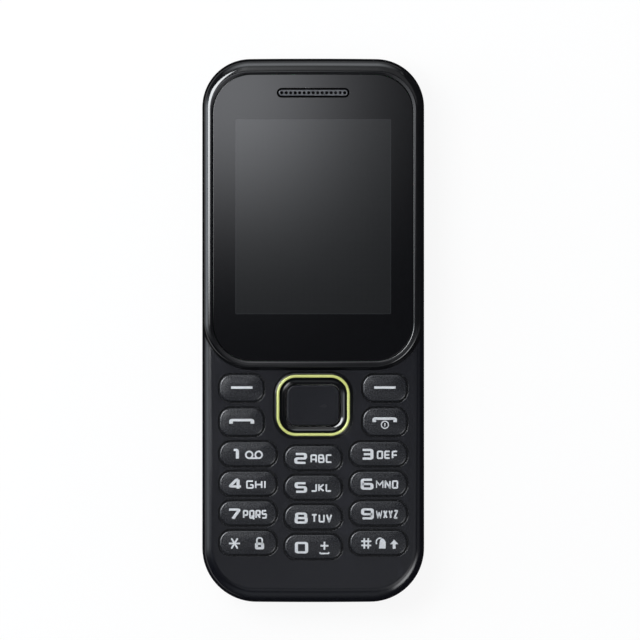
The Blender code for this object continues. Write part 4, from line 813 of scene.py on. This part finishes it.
# Corners are replaced by quadratic bends between points a cut length before and after each corner
def bendCorners(points, cut, closed):
    toBefore, toAfter = np.roll(points, 1, 0) - points, np.roll(points, -1, 0) - points
    lengthBefore = np.linalg.norm(toBefore, axis=1, keepdims=True)
    lengthAfter = np.linalg.norm(toAfter, axis=1, keepdims=True)
    most = legendForm["bendShare"]
    start = points + toBefore / lengthBefore * np.minimum(cut, lengthBefore * most)
    end = points + toAfter / lengthAfter * np.minimum(cut, lengthAfter * most)
    t = np.linspace(0, 1, legendForm["bendSteps"] + 1)[None, :, None]
    bend = (1 - t) ** 2 * start[:, None] + 2 * t * (1 - t) * points[:, None] + t ** 2 * end[:, None]
    if closed:
        return bend.reshape(-1, 2)
    return np.concatenate([points[:1], bend[1:-1].reshape(-1, 2), points[-1:]])


# A flat bar along a path: each point moves out along the mean of its two edge normals, lengthened at bends
def strokeBar(points, width, z0, z1, closed):
    ahead = np.roll(points, -1, 0) - points
    behind = points - np.roll(points, 1, 0)
    if not closed:
        ahead[-1], behind[0] = behind[-1], ahead[0]
    ahead /= np.linalg.norm(ahead, axis=1, keepdims=True)
    behind /= np.linalg.norm(behind, axis=1, keepdims=True)
    normal = np.column_stack([-(ahead + behind)[:, 1], (ahead + behind)[:, 0]])
    normal /= np.linalg.norm(normal, axis=1, keepdims=True)
    across = normal[:, 0] * -behind[:, 1] + normal[:, 1] * behind[:, 0]
    offset = normal * (width / 2 / np.maximum(across, legendForm["leastAcross"]))[:, None]
    left, right = points + offset, points - offset
    rings = np.stack([atHeight(p, z) for p, z in ((left, z0), (right, z0), (right, z1), (left, z1))], 1)
    return loft(rings, loop=closed, capStart=not closed, capEnd=not closed)


# A glyph fills its box (left, right, low, high from the key's middle): centre lines are held half a stroke
# inside it, and wide stems are drawn in a squeezed space. Each stroke stands a layer above the last
def glyphParts(word, x, y, box, wide, tall, z, bend=None):
    g = legendForm
    parts = []
    squeeze = wide / tall
    left, right, low, high = x + box[0], x + box[1], y + box[2], y + box[3]
    for k, line in enumerate(strokes[word]):
        closed = line[-1] == "close"
        points = np.array(line[:-1] if closed else line, float)
        points = np.column_stack([(left + wide / 2 + points[:, 0] * (right - left - wide)) / squeeze,
                                  low + tall / 2 + points[:, 1] * (high - low - tall)])
        if len(points) > 2:
            points = bendCorners(points, g["round"] if bend is None else bend, closed)
        verts, faces, mark = strokeBar(points, tall, z - g["sunk"], z + g["proud"] + g["layer"] * k, closed)
        parts.append((verts * np.array([squeeze, 1, 1]), faces, mark))
    return parts


# A filled shape: the same outline at two heights, closed by flat patches
def plateParts(outline, z0, z1):
    return [loft([atHeight(outline, z0), atHeight(outline, z1)]), flatPatch(outline, [], liftTo(z0)),
            flatPatch(outline, [], liftTo(z1))]


# Digit box, then letters with the box they share; all from the key's middle
numberLegends = {
    "1": ((-3.29, -1.88, -1.20, 1.06), "", None),
    "2": ((-3.92, -1.27, -1.26, 1.03), "ABC", (-0.58, 3.94, -1.05, 0.74)),
    "3": ((-3.58, -1.01, -1.20, 1.06), "DEF", (-0.32, 4.07, -1.06, 0.68)),
    "4": ((-4.12, -1.13, -1.28, 1.05), "GHI", (-0.40, 3.77, -1.09, 0.67)),
    "5": ((-3.86, -1.27, -1.12, 1.12), "JKL", (-0.50, 3.84, -0.91, 0.83)),
    "6": ((-3.66, -1.01, -1.28, 1.01), "MNO", (-0.49, 4.10, -1.09, 0.67)),
    "7": ((-4.24, -1.44, -1.37, 0.96), "PQRS", (-1.07, 3.93, -1.16, 0.66)),
    "8": ((-3.86, -1.14, -1.36, 0.95), "TUV", (-0.42, 3.94, -1.13, 0.65)),
    "9": ((-3.58, -0.93, -1.31, 1.00), "WXYZ", (-0.49, 4.10, -1.16, 0.66)),
    "0": ((-3.80, -1.04, -1.41, 1.00), "", None),
    "star": ((-4.12, -1.48, -1.38, 1.07), "", None),
    "hash": ((-3.71, -1.30, -1.38, 1.11), "", None),
}
letterWidths = {"I": 0.34, "W": 1.4, "M": 1.2}
softDash = ("dash", (-2.44, 2.49, -0.17, 0.38), 0.5, 0.5, None, 0)

# Icon glyphs: box, stem width, bar width, bend and how far one stands above the rest
iconGlyphs = {
    "soft_left": [softDash], "soft_right": [softDash],
    "call": [("lid", (-2.56, 2.61, -0.63, 0.62), 0.76, 0.52, 0.22, 0)],
    "end": [("lid", (-2.55, 2.54, -0.30, 0.93), 0.76, 0.52, 0.22, 0)],
    "1": [("dash", (-0.03, 2.48, -1.06, -0.72), 0.34, 0.34, None, 0.001)],
    "star": [("box", (1.44, 3.33, -1.38, 0.02), 0.62, 0.48, 0.1, 0),
             ("lid", (1.68, 3.09, -0.35, 1.15), 0.30, 0.30, 0.62, 0)],
    "0": [("plus", (1.33, 3.33, -0.82, 1.20), 0.36, 0.36, None, 0),
          ("tray", (1.27, 3.38, -1.56, -0.98), 0.30, 0.30, 0.12, 0)],
}

# Icon rings: middle, radius and stroke width. Icon plates: outline and how far it stands above the rest
iconRings = {"1": [(0.245, -0.19, 0.70, 0.34), (2.205, -0.19, 0.70, 0.34)], "end": [(0.03, -0.60, 0.74, 0.22)]}
bellOutline = [(0.12, -1.20), (1.52, -1.20), (1.52, 0.10), (1.25, 0.62), (0.98, 0.86), (0.66, 0.86),
               (0.38, 0.55), (0.26, 0.0)]
arrowOutline = [(2.98, -1.26), (3.56, -1.26), (3.56, -0.32), (4.12, -0.32), (3.27, 0.66), (2.42, -0.32),
                (2.98, -0.32)]
iconPlates = {"hash": [(bellOutline, 0.001), (arrowOutline, 0.002)],
              "end": [(boxOutline(0.03, -0.60, 0.11, 0.36, 0.05, 3), 0.001)]}
bellArc = {"x": 0.42, "y": 0.10, "radius": 0.86, "start": 0.42, "end": 1.16, "steps": 14, "width": 0.26,
           "drop": 0.002}


# Letters share their box by width, with a gap between them
def letterParts(letters, x, y, box):
    g = legendForm
    left, right, low, high = box
    gap = g["gap"] if len(letters) == 3 else g["tightGap"]
    widths = np.array([letterWidths.get(letter, 1.0) for letter in letters])
    span = (right - left - gap * (len(letters) - 1)) / widths.sum()
    starts = left + np.concatenate([[0], np.cumsum(widths[:-1] * span + gap)])
    parts = []
    for letter, start, share in zip(letters, starts, widths):
        wide = g["thin"] if letter in "WM" else g["letter"]
        bend = g["sharpRound"] if letter in "WMNKVXYZ" else g["letterRound"]
        parts += glyphParts(letter, x, y, (start, start + span * share, low, high), wide, g["letter"], legendZ,
                            bend)
    return parts


def legendFor(word, x, y):
    g = legendForm
    low, high = legendZ - g["sunk"], legendZ + g["proud"]
    parts = []
    if word in numberLegends:
        digitBox, letters, letterBox = numberLegends[word]
        wide, tall = (g["digitWide"], g["digitTall"]) if word.isdigit() else (g["icon"], g["icon"])
        parts += glyphParts(word, x, y, digitBox, wide, tall, legendZ)
        if letters:
            parts += letterParts(letters, x, y, letterBox)
    for glyph, box, wide, tall, bend, lift in iconGlyphs.get(word, ()):
        parts += glyphParts(glyph, x, y, box, wide, tall, legendZ + lift, bend)
    for ringX, ringY, radius, width in iconRings.get(word, ()):
        ring = circleOutline(x + ringX, y + ringY, radius, g["ringSteps"])
        parts.append(strokeBar(ring, width, low, high, True))
    for outline, lift in iconPlates.get(word, ()):
        parts += plateParts(np.array(outline) + (x, y), low, high + lift)
    if word == "hash":
        a = bellArc
        arc = arcRun(x + a["x"], y + a["y"], a["radius"], a["start"] * pi, a["end"] * pi, a["steps"])
        parts.append(strokeBar(arc, a["width"], low, high - a["drop"], False))
    return parts


for node, place in keyPlaces.items():
    makePiece(pieceName("legend", node), legendFor(node[4:], *place[:2]), ["keyInk"], "button" + node[3:],
              sharp=50)
print("legends made")

# Battery cover
coverForm = {"roundWidth": 3.0, "roundRise": 3.6, "roundRows": 15, "flatStep": 0.03, "rim": 3.8,
             "rimRound": 0.10, "rimBend": 0.03, "wall": 1.0, "wallRound": 0.05, "innerDrop": 0.2,
             "innerRows": 12, "floor": 1.0, "slots": 5, "slotPitch": 1.9, "slotLength": 8.0,
             "slotHeight": 0.9, "slotX": -9.5, "slotY": 45.2, "slotRound": 0.12, "slotBend": 0.04,
             "slotSteps": 12, "notchHalf": 4.5, "notch": 0.9, "notchBlend": 0.8, "notchEnd": -50}
tabForm = {"shares": (-0.62, 0.0, 0.62), "outer": 0.45, "inner": 0.95, "half": 2.5, "below": 0.5,
           "above": 0.9, "edge": 0.08}


# Inset of the rounded back edge: a quarter ellipse, widest at the rest plane
def backInset(z):
    f = coverForm
    share = np.clip(1 - z / f["roundRise"], 0, 1)
    return f["roundWidth"] * (1 - np.sqrt(1 - share ** 2))


# A tray: up the rounded outside, over the rim, down inside at one wall's distance. Its rim dips at the lower
# end by a smooth step along X, and slots with rounded edges pass through its floor
def buildCover():
    f, c = coverForm, caseForm
    rim, wall, floor = f["rim"], f["wall"], f["floor"]
    outside = f["roundRise"] * (1 - np.cos(np.linspace(0, pi / 2, f["roundRows"])))
    inside = floor + (rim - f["innerDrop"] - floor) * (1 - np.cos(np.linspace(pi / 2, 0, f["innerRows"])))
    rows = [(f["roundWidth"] + f["flatStep"], 0)] + [(backInset(h), h) for h in outside]
    rows += [(0, rim - f["rimRound"]), (f["rimBend"], rim - f["rimBend"]), (f["rimRound"], rim)]
    rows += [(wall - f["wallRound"], rim), (wall, rim - f["wallRound"])]
    rows += [(backInset(h) + wall, h) for h in inside]
    rows.append((backInset(floor) + wall + f["flatStep"], floor))
    rings = np.array([atHeight(caseOutline(float(inset)), h) for inset, h in rows])
    dip = f["notch"] * smoothStep(-np.abs(rings[..., 0]), -f["notchHalf"], f["notchBlend"])
    rings[..., 2] = np.minimum(rings[..., 2], rim - dip * (rings[..., 1] < f["notchEnd"]))
    parts = [loft(rings)]
    outerSlots, innerSlots = [], []
    slotRows = [(-f["slotRound"], 0), (-f["slotBend"], f["slotBend"]), (0, f["slotRound"]), (0, floor)]
    for k in range(f["slots"]):
        y = f["slotY"] + (k - (f["slots"] - 1) / 2) * f["slotPitch"]
        slot = lambda grow, y=y: slotOutline(f["slotX"], y, f["slotLength"] + 2 * grow,
                                             f["slotHeight"] + 2 * grow, f["slotSteps"])
        parts.append(loft(insetRings(slot, slotRows)))
        outerSlots.append(slot(f["slotRound"]))
        innerSlots.append(slot(0))
    parts.append(flatPatch(rings[0][:, :2], outerSlots, liftTo(0)))
    parts.append(flatPatch(rings[-1][:, :2], innerSlots, liftTo(floor)))
    t = tabForm
    for side in (-1, 1):
        x0, x1 = sorted((side * (c["half"] - t["outer"]), side * (c["half"] - t["inner"])))
        for share in t["shares"]:
            y = share * c["end"]
            parts.append(boxShell(x0, x1, y - t["half"], y + t["half"], rim - t["below"], rim + t["above"],
                                  t["edge"]))
    return parts


makePiece("backCover", buildCover(), ["coverBlack"], "cover", ["battery_cover"])

bandForm = {"low": 3.995, "high": 8.705, "edge": 0.08, "bend": 0.3, "proud": 0.012, "depth": 0.30,
            "jackX": 6.0, "jackZ": 6.3, "jackHole": 2.2, "jackSteps": 40, "portHalfX": 4.1, "portHalfZ": 1.6,
            "portZ": 6.4, "portCorner": 0.7, "portSteps": 8, "soundX": 8.2, "soundZ": 7.2, "soundHole": 0.5,
            "soundSteps": 20}


# The side band is a thin skin round the rear housing; at both ends a flat patch holds the openings,
# and its points take their depth from the end curve at their own x
def buildBand():
    f = bandForm
    e, p, d = f["edge"], f["proud"], f["depth"]
    bend = f["bend"] * e
    wallLow, wallHigh = f["low"] + e, f["high"] - e
    rows = [(d, f["low"]), (e - p, f["low"]), (bend - p, f["low"] + bend), (-p, wallLow), (-p, wallHigh),
            (bend - p, f["high"] - bend), (e - p, f["high"]), (d, f["high"]), (d, wallHigh), (d, wallLow)]
    outerRow, innerRow = 3, 8
    rings = [atHeight(caseOutline(inset), z) for inset, z in rows]
    upper = len(rings[0]) // 2
    spans = [(start + cornerSteps, start + cornerSteps + endSteps) for start in (0, upper)]
    parts = [loft(rings, loop=True, skip=[(row, a, b) for row in (outerRow, innerRow) for a, b in spans])]
    jack = circleOutline(f["jackX"], f["jackZ"], f["jackHole"], f["jackSteps"])
    port = boxOutline(0, f["portZ"], f["portHalfX"], f["portHalfZ"], f["portCorner"], f["portSteps"])
    sound = circleOutline(f["soundX"], f["soundZ"], f["soundHole"], f["soundSteps"])
    for (a, b), holes in zip(spans, ([jack], [port, sound])):
        lifts = []
        for ring in (rings[outerRow], rings[innerRow]):
            line = ring[a:b + 1, :2]
            line = line[np.argsort(line[:, 0])]
            lifts.append(lambda flat, line=line: np.column_stack(
                [flat[:, 0], np.interp(flat[:, 0], line[:, 0], line[:, 1]), flat[:, 1]]))
            lower = np.column_stack([line[:, 0], np.full(len(line), wallLow)])
            higher = np.column_stack([line[::-1, 0], np.full(len(line), wallHigh)])
            parts.append(flatPatch(np.concatenate([lower, higher]), holes, lifts[-1]))
        parts += [loft([lift(hole) for lift in lifts]) for hole in holes]
    return parts


makePiece("sideBand", buildBand(), ["bandBlack"], "phone")

jackForm = {"x": 6.0, "z": 6.3, "front": 55.05, "length": 12.0, "half": 3.1, "tall": 4.6, "blockEdge": 0.3,
            "collar": 2.05, "collarSunk": 0.3, "collarRound": 0.12, "collarBend": 0.04, "bore": 1.8,
            "boreRound": 0.10, "boreBend": 0.03, "reach": 56.18, "boreLength": 10.5, "springStart": 2.2,
            "springEnd": 3.4, "springDeep": 0.16, "springGap": 0.01}


# A collar turned round the bore with both edges rounded, a block behind it and a flat spring ring in the bore
def buildJack():
    f = jackForm
    x, z, front, reach, collar, bore = [f[key] for key in ("x", "z", "front", "reach", "collar", "bore")]
    pairs = [(collar, front - f["collarSunk"]), (collar, reach - f["collarRound"]),
             (collar - f["collarBend"], reach - f["collarBend"]), (collar - f["collarRound"], reach),
             (bore + f["boreRound"], reach), (bore + f["boreBend"], reach - f["boreBend"]),
             (bore, reach - f["boreRound"]), (bore, front - f["boreLength"])]
    wide, narrow = bore - f["springGap"], bore - f["springDeep"]
    near, far = front - f["springStart"], front - f["springEnd"]
    spring = turnedRings(x, z, [(wide, near), (narrow, near), (narrow, far), (wide, far)])
    block = boxShell(x - f["half"], x + f["half"], front - f["length"], front, z - f["tall"] / 2,
                     z + f["tall"] / 2, f["blockEdge"])
    return [loft(turnedRings(x, z, pairs), capStart=True, capEnd=True), block, loft(spring, loop=True, mark=1)]


makePiece("headsetSocket", buildJack(), ["socketBlack", "contactGold"], "phone",
          ["headset_jack"])

portForm = {"front": -55.7, "length": 5.4, "width": 7.5, "height": 2.5, "top": 7.65, "shell": 0.3, "bevel": 0.6,
            "bend": 0.28, "edge": 0.05, "backWall": 0.3}
tongueForm = {"half": 1.9, "thick": 0.6, "front": 0.6, "back": 0.2, "edge": 0.08}
contactForm = {"count": 5, "pitch": 0.65, "half": 0.13, "front": 0.9, "back": 0.4, "low": 0.06, "high": 0.05,
               "edge": 0.02}


# Pressed shell: a six-sided outline with softened corners, wall folded back inside, and a black tongue with
# contacts
def buildPort():
    f, t, s = portForm, tongueForm, contactForm

    def ring(inset, y):
        half, low, high = f["width"] / 2 - inset, f["top"] - f["height"] + inset, f["top"] - inset
        flat = np.array([(half, low + f["bevel"]), (half, high), (-half, high), (-half, low + f["bevel"]),
                         (f["bevel"] - half, low), (half - f["bevel"], low)])
        flat = bendCorners(flat, f["bend"], True)
        return np.column_stack([flat[:, 0], np.full(len(flat), float(y)), flat[:, 1]])

    front, back, shell, edge = f["front"], f["front"] + f["length"], f["shell"], f["edge"]
    rings = [ring(shell, back - f["backWall"]), ring(shell, front + edge), ring(shell - edge, front),
             ring(edge, front), ring(0, front + edge), ring(0, back)]
    middle = f["top"] - f["height"] / 2
    parts = [loft(rings, capStart=True, capEnd=True),
             boxShell(-t["half"], t["half"], front + t["front"], back - t["back"], middle, middle + t["thick"],
                      t["edge"], 1)]
    for x in (np.arange(s["count"]) - (s["count"] - 1) / 2) * s["pitch"]:
        parts.append(boxShell(x - s["half"], x + s["half"], front + s["front"], back - s["back"],
                              middle - s["low"], middle + s["high"], s["edge"], 2))
    return parts


makePiece("cableSocket", buildPort(), ["steelPlate", "socketBlack", "contactGold"], "phone",
          ["usb_port"])
print("back and sockets made")

# Finishes of the CAD nodes that stay
staying = {
    "earpiece_speaker": "tinPlate", "lcd_frame": "frameWhite", "lcd_panel": "panelDark",
    "lcd_ribbon": "amberFilm", "keypad_mat": "siliconeGrey", "nav_pad": "siliconeGrey",
    "dome_sheet": "domeFilm", "main_board": "boardGreen", "shield_can_upper": "tinPlate",
    "shield_can_lower": "tinPlate", "loudspeaker": "steelPlate",
    "speaker_mesh": "socketBlack", "microphone": "tinPlate", "vibration_motor": "tinPlate",
    "vibration_weight": "weightMetal", "sim_holder": "steelPlate", "memory_card_holder": "steelPlate",
    "battery_connector": "contactGold", "antenna_carrier": "frameWhite", "rear_housing": "bandBlack",
    "battery": "batteryWrap",
}
staying.update({node: "steelPlate" for node in nodes if node.startswith("screw_")})
for node, finishName in staying.items():
    for holder in nodes[node].material_slots:
        holder.material = finish[finishName]
print("inner pieces finished")

# Studio: a pale floor and room, glowing sheets that the plastics mirror, and dark cards behind them
studio = {"ambient": 0.22, "ambientTint": (0.97, 0.985, 1.0), "floorGlow": 0.90, "floorPale": 0.10,
          "floorBounce": 0.2, "size": 4000.0}


# A studio sheet that the camera doesn't see; rays says whether reflections, diffuse light or both see it
def stageSheet(name, corners, material, rays="both"):
    mesh = bpy.data.meshes.new(name)
    mesh.from_pydata((np.array(corners, float) * mm).tolist(), [], [list(range(len(corners)))])
    mesh.materials.append(material)
    sheet = bpy.data.objects.new(name, mesh)
    bpy.context.scene.collection.objects.link(sheet)
    sheet.visible_camera = False
    sheet.visible_shadow = False
    sheet.visible_diffuse = rays != "gloss"
    sheet.visible_glossy = rays != "diffuse"
    sheet.visible_transmission = rays == "both"
    return sheet


# A level sheet between two places along X and two along Y
def levelSheet(x0, x1, y0, y1, z):
    return [(x0, y0, z), (x1, y0, z), (x1, y1, z), (x0, y1, z)]


# A standing sheet over a line on the floor; its upper edge may lean by a distance along X and Y
def standingSheet(start, end, low, high, lean=(0, 0)):
    (x0, y0), (x1, y1), (dx, dy) = start, end, lean
    return [(x0, y0, low), (x1, y1, low), (x1 + dx, y1 + dy, high), (x0 + dx, y0 + dy, high)]


# One for what the camera sees straight on, mirrored or through a clear piece
def seenByLens(tree):
    path = addNode(tree, "ShaderNodeLightPath").outputs
    either = mathNode(tree, "MAXIMUM", path["Is Camera Ray"], path["Is Glossy Ray"])
    return mathNode(tree, "MAXIMUM", either, path["Is Transmission Ray"])


def emptyMaterial(name):
    material = bpy.data.materials.new(name)
    material.use_nodes = True
    tree = material.node_tree
    tree.nodes.clear()
    return material, tree, addNode(tree, "ShaderNodeOutputMaterial")


# The floor glows for the lens and only passes light on to the phone
def floorFinish():
    material, tree, output = emptyMaterial("paleFloor")
    glow = addNode(tree, "ShaderNodeEmission",
                   {"Color": (1, 1, 1, 1), "Strength": studio["floorGlow"]}).outputs[0]
    pale = addNode(tree, "ShaderNodeBsdfDiffuse", {"Color": (studio["floorPale"],) * 3 + (1,)}).outputs[0]
    seen = addNode(tree, "ShaderNodeAddShader", {0: glow, 1: pale}).outputs[0]
    bounce = addNode(tree, "ShaderNodeBsdfDiffuse", {"Color": (studio["floorBounce"],) * 3 + (1,)}).outputs[0]
    mix = addNode(tree, "ShaderNodeMixShader", {0: seenByLens(tree), 1: bounce, 2: seen}).outputs[0]
    tree.links.new(mix, output.inputs[0])
    return material


size = studio["size"]
floor = stageSheet("floor", levelSheet(-size, size, -size, size, 0), floorFinish())
floor.visible_camera = True
floor.visible_shadow = True

world = bpy.data.worlds.new("paleRoom")
world.use_nodes = True
bpy.context.scene.world = world
tree = world.node_tree
tree.nodes.clear()
plain = addNode(tree, "ShaderNodeBackground", {"Color": (1, 1, 1, 1), "Strength": 1.0}).outputs[0]
soft = addNode(tree, "ShaderNodeBackground", {"Color": (*studio["ambientTint"], 1),
                                              "Strength": studio["ambient"]}).outputs[0]
blend = addNode(tree, "ShaderNodeMixShader", {0: seenByLens(tree), 1: soft, 2: plain}).outputs[0]
tree.links.new(blend, addNode(tree, "ShaderNodeOutputWorld").inputs[0])


# A sheet that glows evenly, or as exp(-(distance / spread) squared) from its bright point, over a least
# strength, or by two smooth steps between its ends, with a climb along Y and a tail along X
def glowFinish(name, use):
    material, tree, output = emptyMaterial(name)
    strength = use.get("strength")
    if "centre" in use:
        centre, scale = [v * mm for v in use["centre"]], [1 / (s * mm) for s in use["spread"]]
        away = addNode(tree, "ShaderNodeVectorMath", {0: objectPlace(tree), 1: centre},
                       operation="SUBTRACT").outputs[0]
        scaled = addNode(tree, "ShaderNodeVectorMath", {0: away, 1: scale}, operation="MULTIPLY").outputs[0]
        square = addNode(tree, "ShaderNodeVectorMath", {0: scaled, 1: scaled},
                         operation="DOT_PRODUCT").outputs["Value"]
        fall = mathNode(tree, "EXPONENT", mathNode(tree, "MULTIPLY", square, -1.0))
        strength = mathNode(tree, "ADD", mathNode(tree, "MULTIPLY", fall, strength), use.get("least", 0.0))
    if "climb" in use:
        axes = addNode(tree, "ShaderNodeSeparateXYZ", {0: objectPlace(tree)}).outputs
        steps = [(axes[1], use["climb"], (use["low"], use["high"])), (axes[0], use["tail"], (1, 0))]
        steps += [(axis, fade, (0, 1)) for axis, fade in zip(axes, use["fades"])]
        strength = 1.0
        for axis, (start, end), (low, high) in steps:
            step = mapRange(tree, axis, start * mm, end * mm, low, high, True)
            strength = mathNode(tree, "MULTIPLY", strength, step)
    glow = addNode(tree, "ShaderNodeEmission", {"Color": (*use["tint"], 1), "Strength": strength}).outputs[0]
    tree.links.new(glow, output.inputs[0])
    return material


# Lamps: corners, tint, strength and, where a lamp isn't even, its bright point and how far that spreads.
# Rays tell whether only reflections or only diffuse light see the sheet
paleSky, coolSky = (0.97, 0.985, 1.0), (0.88, 0.94, 1.0)
windowSky, deckSky = (0.95, 0.975, 1.0), (0.92, 0.95, 1.0)
lamps = {
    "overheadGlow": {"corners": levelSheet(-120, 75, -30, 155, 620), "centre": (-22.9, 61.5, 620),
                     "spread": (29.7, 29.7, 400), "strength": 3.5, "tint": (0.93, 0.95, 1.0), "rays": "both"},
    "farGlow": {"corners": levelSheet(-360, 360, 96, 900, 640), "centre": (-60, 330, 640),
                "spread": (60, 230, 400), "strength": 1.8, "least": 0.45, "tint": paleSky, "rays": "gloss"},
    "keyStrip": {"corners": levelSheet(-900, -56, -14, 300, 500), "climb": (-15, 75), "low": 5.5, "high": 21.0,
                 "fades": ((-84, -130), (-4, 10)), "tail": (-380, -900), "tint": windowSky, "rays": "gloss"},
    "keyPanel": {"corners": levelSheet(-430, -86, 0, 300, 498), "strength": 7.0, "tint": windowSky,
                 "rays": "diffuse"},
    "lowLeft": {"corners": levelSheet(-620, -110, -330, 60, 505), "centre": (-420, -30, 505),
                "spread": (150, 120, 400), "strength": 0.9, "tint": coolSky, "rays": "gloss"},
    "leftWall": {"corners": standingSheet((-420, -330), (-420, 330), 12, 420), "centre": (-420, 30, 230),
                 "spread": (600, 105, 230), "strength": 4.4, "tint": (0.86, 0.93, 1.0), "rays": "both"},
    "topWall": {"corners": standingSheet((-300, 420), (260, 420), 40, 420), "centre": (-40, 420, 265),
                "spread": (170, 600, 160), "strength": 3.5, "tint": (0.92, 0.96, 1.0), "rays": "both"},
    "deckGlow": {"corners": levelSheet(-90, 400, -160, -12, 540), "centre": (130, -95, 540),
                 "spread": (250, 70, 400), "strength": 0.86, "tint": deckSky, "rays": "gloss"},
    "rightGlow": {"corners": standingSheet((415, -330), (415, 40), 40, 420), "centre": (415, -75, 240),
                  "spread": (400, 55, 150), "strength": 0.42, "tint": deckSky, "rays": "gloss"},
    "frontGlow": {"corners": standingSheet((-320, -325), (320, -325), 40, 420), "centre": (-20, -325, 260),
                  "spread": (200, 400, 150), "strength": 0.5, "tint": coolSky, "rays": "gloss"},
    "lowerGlow": {"corners": levelSheet(-320, 320, -324, -160, 505), "centre": (40, -240, 505),
                  "spread": (250, 75, 400), "strength": 0.6, "tint": (0.90, 0.95, 1.0), "rays": "gloss"},
    "bevelGlow": {"corners": standingSheet((155, -325), (400, -80), 175, 490), "centre": (240, -240, 270),
                  "spread": (120, 120, 140), "strength": 8.5, "tint": paleSky, "rays": "gloss"},
    "cornerGlow": {"corners": levelSheet(60, 340, -380, -100, 500), "centre": (200, -240, 500),
                   "spread": (90, 90, 400), "strength": 3.2, "tint": paleSky, "rays": "gloss"},
    "rightFill": {"corners": standingSheet((330, -330), (330, 330), 5, 160), "strength": 1.8, "tint": windowSky,
                  "rays": "diffuse"},
    "lowerFill": {"corners": standingSheet((-330, -390), (330, -390), 5, 160), "strength": 1.8,
                  "tint": windowSky, "rays": "diffuse"},
}
for name, use in lamps.items():
    stageSheet(name, use["corners"], glowFinish(name, use), use["rays"])

# Dark cards hide the bright room from the plastics' reflections
ceilingCard = glowFinish("ceilingCard", {"strength": 0.02, "tint": (1, 1, 1)})
darkCard = glowFinish("darkCard", {"strength": 0.012, "tint": (1, 1, 1)})
stageSheet("ceilingCard", atHeight(circleOutline(0, 0, 900, 48), 700), ceilingCard, "gloss")
cards = {
    "rightCard": standingSheet((420, -700), (420, 700), 0.5, 620, (100, 0)),
    "lowerCard": standingSheet((-700, -330), (700, -330), 0.5, 620, (0, -150)),
    "leftCard": standingSheet((-440, -700), (-440, 700), 0.5, 620, (-40, 0)),
    "floorCard": levelSheet(-60, 700, -700, 300, 0.6),
}
for name, corners in cards.items():
    stageSheet(name, corners, darkCard, "gloss")
print("studio made")

cameraForm = {"x": 1.41, "y": 2.16, "z": 2499.0, "lens": 675.0, "sensor": 36.0, "near": 0.01}
cameraData = bpy.data.cameras.new("camera")
cameraData.lens = cameraForm["lens"]
cameraData.sensor_width = cameraForm["sensor"]
cameraData.clip_start = cameraForm["near"]
camera = bpy.data.objects.new("camera", cameraData)
camera.location = (cameraForm["x"] * mm, cameraForm["y"] * mm, cameraForm["z"] * mm)
bpy.context.scene.collection.objects.link(camera)
bpy.context.scene.camera = camera
bpy.context.scene.view_settings.view_transform = "Standard"
